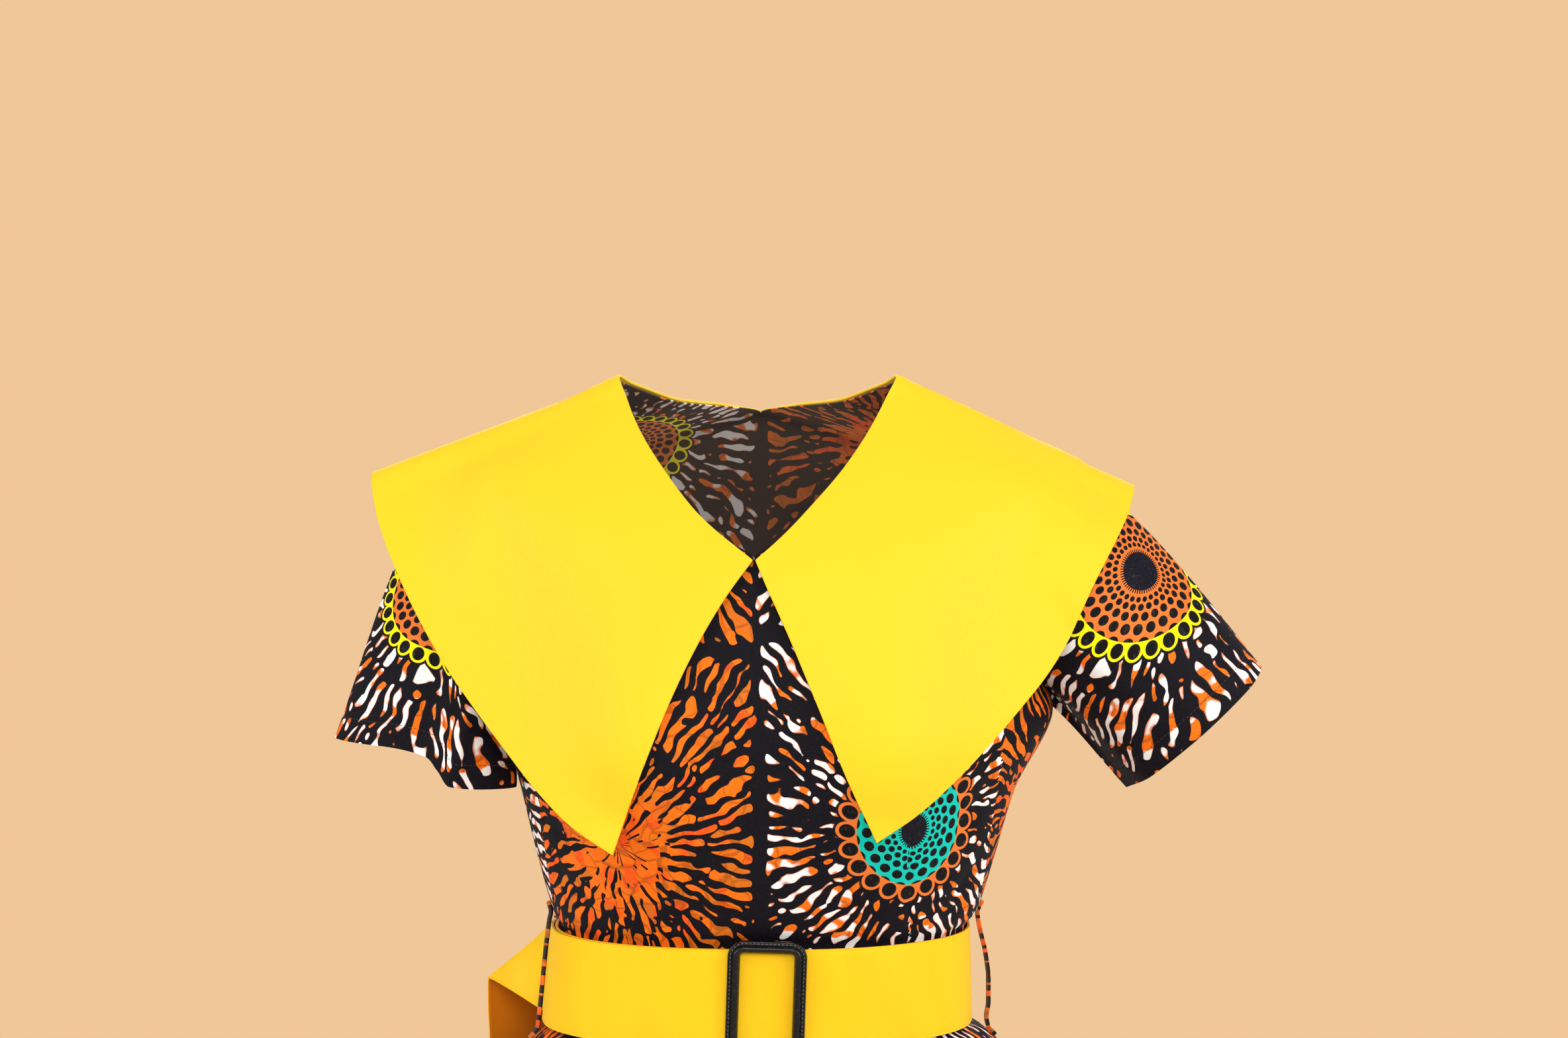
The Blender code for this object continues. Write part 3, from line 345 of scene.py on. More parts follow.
def makePrint():
    # orange bursts and dotted roundels in staggered cells, all drawn from sums of the cloth's coordinates
    g = Graph("waxPrint")
    across, down = printed["across"], printed["down"]
    x, y = g.flat()
    i = math.floor(x / across)
    j = math.floor(y / down + 0.5)
    cellX = x - (i + 0.5) * across
    cellY = y - j * down
    kind = (i + j * 2.0) % 4.0
    isBurst = g.math("COMPARE", kind % 2.0, 1.0, 0.1)
    isTeal = g.math("COMPARE", kind, 0.0, 0.1)
    isRoundel = 1.0 - isBurst
    far = g.root(cellX * cellX, cellY * cellY)
    angle = g.math("ARCTAN2", cellY, cellX)
    here = g.place(x, y)
    circle = 2.0 * math.pi

    # wavy streaks in three tiers, each streak broken at its own places
    slow = g.noise(here, 30.0, 0.0)
    quickly = g.noise(here, 84.0, 0.0)
    reach = far + (quickly - 0.5) * 0.05
    wobble = (slow - 0.5) * 9.0 + (quickly - 0.5) * 5.0
    count = printed["tiers"][0][1]
    gap = 0.0
    for (limit, _), (_, more) in zip(printed["tiers"], printed["tiers"][1:]):
        count = g.math("GREATER_THAN", reach, limit) * more + count
        offset = (reach - limit) / 0.003
        gap = g.math("EXPONENT", offset * offset * -1.0) * 1.5 + gap
    phase = angle * count + wobble
    streak = g.math("COSINE", phase)
    index = math.floor(phase / circle + 0.5) % count
    own = g.place(index * 7.31 + i * 3.7, far * 50.0, j * 5.3 + count)
    length = g.noise(own, 1.0, 0.5)
    joined = g.noise(here, 120.0, 0.0)
    edge = g.least(across * 0.5 - abs(cellX), down * 0.5 - abs(cellY))
    stop = 1.0 - g.ease(edge + (length - 0.5) * 0.01, 0.0012, 0.0066)
    middle = (1.0 - g.ease(reach, 0.024, 0.052)) * isBurst
    slitPhase = angle * 26.0 + wobble * 0.7
    slit = math.floor(slitPhase / circle + 0.5) % 26.0
    slitOn = g.ease(g.noise(g.place(slit * 5.17 + i, far * 95.0, j * 3.1), 1.0, 0.0), 0.48, 0.56)
    cut = g.ease(g.math("COSINE", slitPhase), 0.3, 0.95) * slitOn * middle * 5.0
    field = streak * 0.85 + (length - 0.5) * 4.0 + (joined - 0.5) * 1.5 + middle * 2.6
    field = field - cut - gap - stop * 4.0 - 0.18 - isRoundel * 0.12
    ink = g.ease(field, -0.08, 0.08)

    # colours of the streaks: orange with red and ochre patches and brown cracks, or white with orange lengths
    patches = g.ease(g.noise(here, 50.0, 1.0), 0.5, 0.6)
    ochre = g.ease(g.noise(own, 0.8, 0.0) + (joined - 0.5) * 0.2, 0.56, 0.6)
    warped = g.place(x + (quickly - 0.5) * 0.016, y + (slow - 0.5) * 0.02)
    cracks = 1.0 - g.ease(g.cracks(warped, 62.0), 0.02, 0.055)
    burst = g.mix(patches * 0.7, printed["orange"], printed["redOrange"])
    burst = g.mix(ochre * 0.75 * (1.0 - middle), burst, printed["ochre"])
    burst = g.mix(cracks * 0.6, burst, printed["brown"])
    dyed = g.noise(g.place(index * 4.9 + j, far * 64.0, i * 2.3), 1.0, 1.0) + (joined - 0.5) * 0.35
    shade = g.ease(dyed - g.least(field, 0.8) * 0.05, 0.49, 0.55)
    pale = g.mix(shade, printed["white"], printed["orange"])
    rim = (1.0 - g.ease(field, 0.12, 0.3)) * g.ease(quickly, 0.38, 0.48)
    pale = g.mix(rim * 0.8, pale, printed["rimOrange"])
    pale = g.mix(cracks * 0.6 * shade, pale, printed["brown"])
    streaks = g.mix(isBurst, pale, burst)
    depth = g.noise(here, 30.0, 2.0)
    ground = g.mix(depth, printed["black"], printed["navy"])

    # the roundel: a toothed disc, rings of growing dots and a ring of scallops
    def either(values):
        return isTeal * (values[1] - values[0]) + values[0]
    spokes = either(printed["spokes"])
    away = far / either(printed["grown"])
    turn = angle * spokes / circle
    ring = g.math("LOGARITHM", g.math("MAXIMUM", away, 0.001) / printed["dotsFrom"], printed["dotsGrow"])
    ringNumber = math.floor(ring)
    stagger = ringNumber % 2.0 * 0.5
    dotAcross = (turn + stagger) % 1.0 - 0.5
    dotDown = ring - ringNumber - 0.5
    dot = g.root(dotAcross * dotAcross * 1.1, dotDown * dotDown * 0.9)
    onDot = 1.0 - g.ease(dot, 0.375, 0.41)
    sideways = ((turn + 0.5) % 1.0 - 0.5) * away * circle / spokes
    upward = away - printed["scallops"]
    lobe = g.root(sideways * sideways, upward * upward * 0.85) - either(printed["lobes"])
    within = g.least(lobe, upward)
    onLobe = 1.0 - g.ease(within, -0.0002, 0.0002)
    outside = 1.0 - isRoundel * (1.0 - g.ease(within, 0.0012, 0.0018))
    ovalX = sideways / either([size[0] for size in printed["ovals"]])
    ovalY = upward / either([size[1] for size in printed["ovals"]])
    oval = 1.0 - g.ease(g.root(ovalX * ovalX, ovalY * ovalY), 0.94, 1.04)
    teeth = g.ease(abs(turn * 2.0 % 1.0 - 0.5), 0.18, 0.3) * 0.002
    onCentre = 1.0 - g.ease(away - teeth, 0.0116, 0.0119)
    onDisc = 1.0 - g.ease(upward + either((0.005, 0.0056)), -0.0002, 0.0002)
    beyondDots = g.ease(away, printed["dotsFrom"] - 0.0006, printed["dotsFrom"] - 0.0001)
    disc = g.mix(isTeal, printed["rust"], printed["teal"])
    disc = g.mix(onDot * beyondDots, disc, printed["black"])
    disc = g.mix(onCentre, disc, printed["navy"])
    scallop = g.mix(isTeal, printed["yellow"], printed["rust"])
    scallop = g.mix(oval, scallop, printed["black"])
    colour = g.mix(ink * outside, ground, streaks)
    colour = g.mix(isRoundel * onLobe, colour, scallop)
    colour = g.mix(isRoundel * onDisc, colour, disc)

    # the cloth: a paler wrong side, slubs, a soft satin finish
    wrongSide = g.add("ShaderNodeAttribute", "Fac", attribute_name="inside")
    colour = g.mix(wrongSide * 0.32, colour, rgb(140, 120, 105))
    slub = g.noise(g.place(x * 0.35, y), 900.0, 2.0)
    warp = g.noise(g.place(x, y * 0.35), 900.0, 2.0)
    weave = slub + warp
    colour = g.mix(g.math("MAXIMUM", weave - 1.0, 0.0) * (0.02 + ink * 0.1), colour, printed["white"])
    g.bump(weave, 0.16, 0.0003)
    return g.finish(colour, 0.7 + (weave - 1.0) * 0.3 - ink * 0.06, sheen=0.01, specular=0.12)


def makePlain(name, base, deepDyeAndShade, wrongSide):
    # smooth cotton with fine slubs and broad soft streaks, partly uneven dye and partly painted sheen and
    # shade
    g = Graph(name)
    x, y = g.flat()
    broad = g.noise(g.place(x, y * 0.4), 26.0, 1.0)
    slub = g.noise(g.place(x * 0.3, y), 700.0, 2.0)
    warp = g.noise(g.place(x, y * 0.3), 700.0, 2.0)
    weave = slub + warp
    # broad streaks between the base and the deeper colour: uneven dye, and on the collar also painted sheen
    # bands and painted shade
    colour = g.mix(g.ease(broad, 0.35, 0.7) * 0.7 + (weave - 1.0) * 0.3, base, deepDyeAndShade)
    # the wrong side's colour; on the belt it is an amber painted shade where the folded end shows it
    colour = g.mix(g.add("ShaderNodeAttribute", "Fac", attribute_name="inside"), colour, wrongSide)
    g.bump(weave, 0.16, 0.0003)
    return g.finish(colour, 0.56 + (weave - 1.0) * 0.3 + broad * 0.06, sheen=0.02, specular=0.24)


printMaterial = makePrint()
# collar: a paler base and a deeper streak colour, the paler streaks partly painted sheen
collarMaterial = makePlain("collarCotton", rgb(255, 210, 74), rgb(253, 203, 40), rgb(250, 206, 30))
# belt: its last colour is an amber painted shade for the wrong side of its hanging end
beltMaterial = makePlain("beltCotton", rgb(253, 202, 12), rgb(250, 192, 1), rgb(226, 128, 6))
print("materials made")


# ---- bodice

bodice = {
    "fields": ("row", "leftNeck", "rightNeck", "centreY", "centreZ", "leftX", "rightX", "edgeY", "edgeZ",
               "turn"),
    "units": (1.0, *[1000.0] * 8, 1.0),      # the row and the turn in degrees stay as they are
    "front": (
        (0, 0, 0, -90.5, -372.5, -127.5, 129.8, 0, -372.5, 90),
        (1, 0, 0, -91.2, -348, -127, 130, 0, -348, 90),
        (2, 0, 0, -96, -336, -132.2, 138.2, 0, -336, 90),
        (4, 0, 0, -108, -303, -141.6, 149, 0, -303, 90),
        (6, 0, 0, -117.5, -260, -152.2, 162.2, 0, -258, 90),
        (8, -0.5, -0.5, -120.5, -215, -165, 186.5, 0, -207, 88),
        (10, -1.8, -1.8, -114, -160, -160, 165, -36, -170, 76),
        (11, -2.5, -2.5, -105.8, -133.5, -157.6, 160.4, -46, -150.8, 71),
        (12, -3.2, -3.2, -96, -106.2, -156, 157.5, -52, -133, 66),
        (13, -21.2, 13, -86.5, -93.4, -157.2, 158.2, -52, -117, 61),
        (14, -37, 26.5, -76.5, -80.2, -159, 159.5, -50, -102, 56),
        (16, -59.6, 51.6, -53, -53.8, -168, 168, -38, -74.5, 46),
        (18, -77.2, 70.7, -27.5, -27.2, -180, 180, -18, -57.5, 36),
        (20, -88.5, 85.5, 0, 0, -190.5, 190.5, 5, -48.2, 30),
    ),
    "back": (
        (0, 0, 0, 79.8, -372.5, -127.5, 129.8, 0, -372.5, 90),
        (1, 0, 0, 80.2, -348, -127, 130, 0, -348, 90),
        (2, 0, 0, 84, -336, -132.2, 138.2, 0, -336, 90),
        (4, 0, 0, 89, -303, -141.6, 149, 0, -303, 90),
        (6, 0, 0, 93.5, -260, -152.2, 162.2, 0, -258, 90),
        (8, 0, 0, 96.5, -215, -165, 186.5, 0, -207, 88),
        (10, 0, 0, 98, -165, -164, 170, 42, -170, 78),
        (12, 0, 0, 95, -115, -162, 163, 58, -135, 70),
        (14, 0, 0, 83, -64, -165, 165.5, 56, -102, 62),
        (16, 0, 0, 62, -22, -172, 172, 42, -74.5, 50),
        (18, -54, 52, 43, -14, -181, 181, 24, -57.5, 38),
        (20, -88.5, 85.5, 0, 0, -190.5, 190.5, 5, -48.2, 30),
    ),
    "rows": 20, "columns": 10, "underarm": 8, "vRow": 12, "nape": 16,
    "bust": {"across": 0.086, "height": -0.236, "wide": 0.05, "tall": 0.058, "out": 0.02},
    "wall": 0.001,
    "motifs": {-1: (-0.09, -0.278), 1: (0.097, -0.269)}, "backMotif": (0.092, -0.262),
    # x, z and cloth taken at the point, then at the waist; the last of a side breaks its print near the seam
    "darts": {
        -1: ((0.058, -0.258, 0.0, 0.0645, -0.347, 0.016), (0.0885, -0.276, 0.0, 0.0806, -0.347, 0.013),
             (0.1365, -0.268, 0.026, 0.129, -0.347, 0.036)),
        1: ((0.0885, -0.232, 0.0, 0.0924, -0.347, 0.018), (0.15, -0.222, 0.05, 0.137, -0.347, 0.06)),
    },
    "backDarts": ((0.07, -0.235, 0.0, 0.064, -0.347, 0.015),),
    # waist darts, then drag lines; x and z as seen from the front
    "leftCreases": (
        (-58, -268.6, -61, -305, -64.5, -345, 2.2, 1.2),
        (-88.5, -283, -85, -312, -80.6, -345.7, 2.2, 1.3),
        (-94, -286, -91, -315, -87, -343, 3, -0.9),
        (-30, -232, -46, -262, -52, -300, 8, 1.1),
        (-128, -300, -112, -318, -100, -342, 7, 1.3),
        (-140, -262, -124, -276, -108, -284, 8, 1.2),
    ),
    "rightCreases": (
        (91, -266, 93, -300, 92.4, -345, 2.2, 1.3),
        (34, -236, 50, -268, 60, -302, 8.5, 1),
        (150, -236, 134, -262, 112, -276, 8, 1.4),
        (140, -292, 124, -316, 112, -342, 7.5, 1.3),
        (168, -212, 150, -226, 128, -236, 8, 1.2),
    ),
    "backCreases": (
        (70, -240, 67, -290, 64, -345, 2.2, 1.2),
        (135, -285, 112, -312, 92, -338, 8, 1.3),
        (145, -215, 118, -236, 86, -244, 9, 1.2),
        (30, -250, 36, -290, 30, -335, 9, 1),
    ),
}


def bodiceGrid(table, side, isFront):
    # rows from the waist to the shoulder seam, columns from the centre or neckline to the side
    row = np.linspace(0.0, bodice["rows"], bodice["rows"] * fine + 1)
    table = np.array(table) / bodice["units"]
    values = smoothLine(table[:, 0], table, row).T[..., None]
    value = dict(zip(bodice["fields"], values))
    hand = "left" if side < 0 else "right"
    share = np.linspace(0.0, 1.0, bodice["columns"] * fine + 1)[None, :]
    turn = np.radians(value["turn"])
    power = 2.0 / squareness
    sideways = np.maximum(0.0, np.sin(share * turn) / np.sin(turn)) ** power
    depth = np.maximum(0.0, (np.cos(share * turn) - np.cos(turn)) / (1.0 - np.cos(turn))) ** power
    x = value[hand + "Neck"] + (value[hand + "X"] - value[hand + "Neck"]) * sideways
    y = value["edgeY"] + (value["centreY"] - value["edgeY"]) * depth
    z = value["centreZ"] + (value["edgeZ"] - value["centreZ"]) * sideways
    if isFront:
        bust = bodice["bust"]
        for way in (-1, 1):
            across = (x - way * bust["across"]) / bust["wide"]
            height = (z - bust["height"]) / bust["tall"]
            y = y - bust["out"] * np.exp(-across ** 2 - height ** 2) * (1.0 - sideways ** 4)
    return np.stack([x, y, z], -1)


def bodiceFlat(grid, side, turned, motif, facing, darts):
    # flat coordinates with a motif's centre at the given place and a cell's edge at the centre line
    x, z = np.abs(grid[..., 0]), grid[..., 2]
    u = runLength(grid, 1) + np.abs(grid[:, :1, 0])
    v = runLength(grid, 0)
    spot = spotOn(grid, gridNormals(grid, turned), *motif, facing)
    u = u * (0.5 * printed["across"] / u[spot])
    layers = [side * u, v - v[spot]]
    for topX, topZ, topTaken, lowX, lowZ, lowTaken in darts:
        down = np.clip((topZ - z) / (topZ - lowZ), -0.4, 1.2)
        taken = np.where((down >= 0.0) | (topTaken > 0.0), topTaken + (lowTaken - topTaken) * down, 0.0)
        layers += [side * taken, x > topX + (lowX - topX) * down]
    return np.stack(layers, -1).astype(float)


front = {side: bodiceGrid(bodice["front"], side, True) for side in (-1, 1)}
back = {side: bodiceGrid(bodice["back"], side, False) for side in (-1, 1)}
frontShape = {-1: dent(front[-1], True, bodice["leftCreases"]),
              1: dent(front[1], False, bodice["rightCreases"])}
mirrored = [(-a, b, -c, d, -e, *rest) for a, b, c, d, e, *rest in bodice["backCreases"]]
backShape = {-1: dent(back[-1], False, mirrored, facing=1),
             1: dent(back[1], True, bodice["backCreases"], facing=1)}


def frontPatch(side):
    flat = bodiceFlat(front[side], side, side < 0, bodice["motifs"][side], -1, bodice["darts"][side])
    return frontShape[side], flat, side < 0


def makeBack(hand, side):
    motif = (side * bodice["backMotif"][0], bodice["backMotif"][1])
    flat = bodiceFlat(back[side], -side, side > 0, motif, 1, bodice["backDarts"])
    return clothPiece("bodiceBack%sCloth" % hand.capitalize(), "bodice_back_" + hand,
                      ((backShape[side], flat, side > 0),), bodice["wall"], printMaterial)


bodiceFront = clothPiece("bodiceFrontCloth", "bodice_front", (frontPatch(-1), frontPatch(1)),
                         bodice["wall"], printMaterial)
bodiceBackLeft = makeBack("left", -1)
bodiceBackRight = makeBack("right", 1)
print("bodice made")


# ---- sleeves

sleeves = {
    # share of the way round from the underarm, up the front, then x, y and z
    "leftHem": (
        (0, -166.5, 4, -253), (0.12, -153, -40, -253), (0.215, -176.5, -61, -252),
        (0.265, -193.5, -64, -250), (0.295, -201, -60, -240.5), (0.33, -209, -52, -232.8),
        (0.41, -240, -43, -226.8), (0.5, -271.2, -4, -226.2), (0.625, -252, 42, -235),
        (0.75, -212, 58, -244), (0.875, -178, 44, -250), (1, -166.5, 4, -253),
    ),
    "rightHem": (
        (0, 233.8, 0, -259), (0.125, 246.8, -39, -246.2), (0.25, 277.5, -56, -217.5),
        (0.375, 307.8, -40, -190.5), (0.5, 319, 0, -181), (0.625, 307, 40, -192), (0.75, 277, 56, -219.5),
        (0.875, 247, 39, -247), (1, 233.8, 0, -259),
    ),
    # ways out of the shoulder and the underarm, ways into the hem above and below, spread to front and back
    "leftWays": ((-0.68, 0.0, -0.73), (-0.8, 0.0, -0.6), (-0.36, 0.0, -0.93), (-0.1, 0.0, -0.99), 0.35),
    "rightWays": ((0.84, 0.0, -0.54), (0.74, 0.0, -0.67), (0.62, 0.0, -0.78), (0.68, 0.0, -0.73), 0.3),
    "rows": 8,
    "wall": 0.001,
    "leftCreases": (
        (-186, -196, -195, -218, -202, -238, 4.5, 2.6, -1, 0.3),
        (-180, -204, -186, -224, -190, -243, 4, -1.4, -1, 0.3),
        (-228, -150, -236, -184, -242, -214, 9, 1.4),
        (-212, -176, -218, -200, -224, -220, 6, -1),
        (-170, -218, -173, -232, -176, -246, 5, 1.4),
        (-200, -150, -215, -180, -225, -220, 9, 1.8, 1),
        (-185, -190, -190, -215, -195, -238, 7, 1.4, 1),
    ),
    "rightCreases": (
        (201, -180, 220, -200, 248, -222, 7, 1.5),
        (212, -160, 235, -180, 262, -205, 9, 1.3),
        (242, -98, 260, -122, 282, -150, 10, 1),
        (207, -205, 223, -224, 238, -243, 5, 1.4),
        (210, -120, 245, -160, 275, -195, 10, 1.6, 1),
        (215, -180, 235, -205, 250, -228, 7, 1.3, 1),
    ),
    "leftMotif": (-0.196, -0.128), "rightMotif": (0.239, -0.117), "printEase": 0.8,
    "hemUp": 0.015, "hemRidge": 0.0003, "ridgeWide": 0.0016,
}


def sleeveGrid(side, hem, ways):
    # rows from the armhole to the hem; the loop runs from the underarm up the front and down the back
    low = bodice["underarm"] * fine
    loop = np.concatenate([front[side][low:, -1], back[side][low:-1, -1][::-1]])
    lengths = lengthsAlong(loop)
    top = len(loop) // 2
    share = np.where(lengths <= lengths[top], 0.5 * lengths / lengths[top],
                     0.5 + 0.5 * (lengths - lengths[top]) / (lengths[-1] - lengths[top]))
    hem = np.array(hem) / (1.0, 1000.0, 1000.0, 1000.0)
    end = smoothLine(hem[:, 0], hem[:, 1:], share)
    reach = np.linalg.norm(end - loop, axis=1, keepdims=True)
    over = (np.sin(math.pi * share) ** 2)[:, None]
    leave = np.array(ways[0]) * over + np.array(ways[1]) * (1.0 - over)
    leave[:, 1] -= ways[4] * np.sin(2.0 * math.pi * share)
    arrive = np.array(ways[2]) * over + np.array(ways[3]) * (1.0 - over)
    leave, arrive = (way * reach / np.linalg.norm(way, axis=1, keepdims=True) for way in (leave, arrive))
    t = np.linspace(0.0, 1.0, sleeves["rows"] * fine + 1)[:, None, None]
    grid = hermite(t, loop, end, leave, arrive)
    grid[:, -1] = grid[:, 0]
    return grid


def sleeveFlat(grid, turned, motif):
    # the cut's own lengths, turned and eased so the roundel looks round from the front
    middle = grid.shape[1] // 2
    u = runLength(grid, 1)
    u = u - u[:, middle:middle + 1]
    v = aboveHem(grid)
    row, column = spotOn(grid, gridNormals(grid, turned), *motif, -1)
    flat = np.stack([u - u[row, column], v - v[row, column]], -1)
    near = 2 * fine // 3 + 1
    rows, columns = slice(row - near, row + near + 1), slice(column - near, column + near + 1)
    seen = grid[rows, columns][..., [0, 2]].reshape(-1, 2) - grid[row, column, [0, 2]]
    lay = np.linalg.lstsq(flat[rows, columns].reshape(-1, 2), seen, rcond=None)[0]
    turn = np.linalg.svd(lay)
    lay = turn[0] @ np.diag(turn[1] ** sleeves["printEase"]) @ turn[2]
    return flat @ lay + np.array((0.5 * printed["across"], printed["down"])), v


def makeSleeve(hand, side):
    grid = sleeveGrid(side, sleeves[hand + "Hem"], sleeves[hand + "Ways"])
    flat, up = sleeveFlat(grid, side > 0, sleeves[hand + "Motif"])
    shape = dent(grid, side > 0, sleeves[hand + "Creases"], edgeFade=1.0)
    shape = withRidge(shape, grid, side > 0, up, sleeves)
    piece = clothPiece("sleeve%sCloth" % hand.capitalize(), "sleeve_" + hand,
                       ((shape, flat, side > 0),), sleeves["wall"], printMaterial)
    return piece, shape, up


leftSleeve, leftSleeveShape, leftSleeveUp = makeSleeve("left", -1)
rightSleeve, rightSleeveShape, rightSleeveUp = makeSleeve("right", 1)
print("sleeves made")


# ---- skirt

skirt = {
    "rings": metres((    # height, left, right, front, back, fold
        (-372.9, 127.5, 129.8, 90.5, 79.8, 0), (-407.5, 132.5, 131.5, 92.8, 82, 0),
        (-413.5, 138.8, 141.5, 95, 88.5, 0.4), (-424, 147.5, 152.5, 104.5, 96.5, 1.2),
        (-470, 175, 179, 131, 121, 5), (-540, 202, 205, 156, 147, 11), (-650, 231, 233, 183, 176, 18),
        (-780, 255, 256, 205, 200, 24), (-900, 272, 273, 220, 217, 28), (-1000, 286, 287, 233, 231, 31),
    )),
    "levels": metres((
        -372.9, -407.5, -413.5, -424, -445, -470, -520, -590, -680, -780, -890, -1000,
    )),
    "columns": 96, "folds": 12, "drift": 0.55, "uneven": 0.28, "hemSquareness": 2.0,
    "wall": 0.001, "hemUp": 0.02, "hemRidge": 0.0004, "ridgeWide": 0.002, "motifZ": -0.52,
}


def ringPoint(angle, left, right, frontDeep, backDeep, square):
    sine, cosine = np.sin(angle), np.cos(angle)
    half = np.where(sine >= 0.0, right, left)
    deep = np.where(cosine >= 0.0, frontDeep, backDeep)
    return (np.copysign(half * np.abs(sine) ** (2.0 / square), sine),
            -np.copysign(deep * np.abs(cosine) ** (2.0 / square), cosine))


def skirtGrid():
    # rows from the waist to the hem, columns once round from the left side seam
    levels = skirt["levels"]
    steps = np.linspace(0, len(levels) - 1, (len(levels) - 1) * fine + 1)
    height = np.interp(steps, range(len(levels)), levels)
    sizes = smoothLine(skirt["rings"][:, 0], skirt["rings"], height).T[1:, :, None]
    left, right, frontDeep, backDeep, fold = sizes
    down = ((levels[0] - height) / (levels[0] - levels[-1]))[:, None]
    columns = skirt["columns"] * fine // 2
    angle = (-0.5 * math.pi + 2.0 * math.pi * np.arange(columns + 1) / columns)[None, :]
    square = squareness + (skirt["hemSquareness"] - squareness) * down
    x, y = ringPoint(angle, left, right, frontDeep, backDeep, square)
    wave = np.cos(skirt["folds"] * angle + skirt["drift"] * np.sin(2.0 * angle + 0.7))
    size = fold * wave * (1.0 + skirt["uneven"] * np.sin(3.0 * angle + 1.9))
    away = np.hypot(x, y)
    x, y = x * (1.0 + size / away), y * (1.0 + size / away)
    return np.stack([x, y, np.broadcast_to(height[:, None], x.shape)], -1)


def skirtFlat(grid):
    # a flared panel lies flat as part of a ring, so the print stays true and the folds don't stretch it
    v = runLength(grid, 0).mean(axis=1)
    u = runLength(grid, 1)
    middle = grid.shape[1] // 2
    u = u - u[:, middle:middle + 1]
    half = np.abs(u[:, [0, -1]]).mean(axis=1)
    spread = (half[-1] - half[0]) / v[-1]
    radius = half[0] / spread
    turn = u / half[:, None] * spread
    reach = (radius + v)[:, None]
    start = np.interp(-skirt["motifZ"], -grid[:, 0, 2], v)
    return np.stack([reach * np.sin(turn), radius + start - reach * np.cos(turn) - printed["down"]], -1)


rings = skirtGrid()
seam = (rings.shape[1] - 1) // 2
rings = withRidge(rings, rings, True, aboveHem(rings), skirt)
skirtHalves = {"front": rings[:, :seam + 1], "back": rings[:, seam:]}
skirtFront, skirtBack = (
    clothPiece("skirt%sCloth" % key.capitalize(), "skirt_" + key,
               ((skirtHalves[key], skirtFlat(skirtHalves[key]), True),), skirt["wall"], printMaterial)
    for key in ("front", "back"))
print("skirt made")


# ---- collar

collar = {
    "leftEdge": metres((
        (-88.9, -126, -283.4), (-96.5, -124, -280), (-128.7, -111, -254), (-157.6, -93, -221.3),
        (-198.1, -67, -168.7), (-219.7, -51, -131.6), (-230.5, -39, -110.5), (-243, -17, -79.7),
        (-246.5, 8, -59.5),
    )),
    "rightEdge": metres((
        (71.1, -126, -275.6), (74.3, -126, -274.5), (89.7, -121, -263.8), (124.9, -106, -234.5),
        (154.3, -90, -205), (181.8, -72, -173.1), (206.1, -51, -131.8), (221.9, -34, -103.6),
        (233.2, -14, -80.1), (237.9, 8, -68),
    )),
    "backEdge": metres((    # from beside the shoulder corner to the centre back, as the left half has it
        (-236, 44, -84), (-208, 76, -124), (-165, 96, -166), (-110, 104, -195), (-55, 107, -208),
        (0, 107, -211),
    )),
    "frontRows": 10, "backRows": 8, "columns": 10,
    "bow": {-1: -0.01, 1: 0.0008}, "bowSkew": 0.75,
    "lift": 0.003, "neckLift": 0.0024, "passes": 6, "seamGap": 0.0003,
    "wall": 0.002,
    "leftCreases": (
        (-150, -60, -160, -110, -150, -160, 16, -0.7),
        (-100, -100, -105, -160, -98, -220, 18, 0.5),
        (-200, -80, -205, -110, -200, -140, 14, 0.5),
    ),
    "rightCreases": (
        (118, -60, 127, -125, 114, -190, 9, -2),
        (160, -70, 163, -115, 150, -165, 8, -1.7),
        (196, -75, 202, -105, 192, -132, 7, -1.2),
        (82, -115, 83, -170, 78, -235, 9, -1.4),
        (46, -110, 56, -145, 64, -185, 7, -0.8),
    ),
}


def bodyTree():
    places, faces = [], []
    parts = ((front[-1], True), (front[1], False), (back[-1], False), (back[1], True),
             (leftSleeveShape, False), (rightSleeveShape, True))
    for grid, turned in parts:
        grid = grid[::2, ::2]
        quad = gridQuads(grid, len(places))
        faces += (quad[:, ::-1] if turned else quad).tolist()
        places += [tuple(place) for place in grid.reshape(-1, 3)]
    return BVHTree.FromPolygons(places, faces)


def liftWay(row):
    # forward at the V, up at the shoulder and back at the centre back, so the outline stays in place
    if row <= collar["frontRows"]:
        angle = 0.5 * math.pi * (row / collar["frontRows"]) ** 2
    else:
        angle = math.pi * (1.0 - 0.5 * (1.0 - (row - collar["frontRows"]) / collar["backRows"]) ** 2)
    return Vector((0.0, -math.cos(angle), math.sin(angle)))


def clearOf(place, way, lift, body):
    near, normal = body.find_nearest(place)[:2]
    height = (place - near).dot(normal)
    if height >= lift:
        return Vector((0.0, 0.0, 0.0))
    direction = (way + normal * 0.4).normalized()
    return direction * ((lift - height) / max(0.4, direction.dot(normal)))


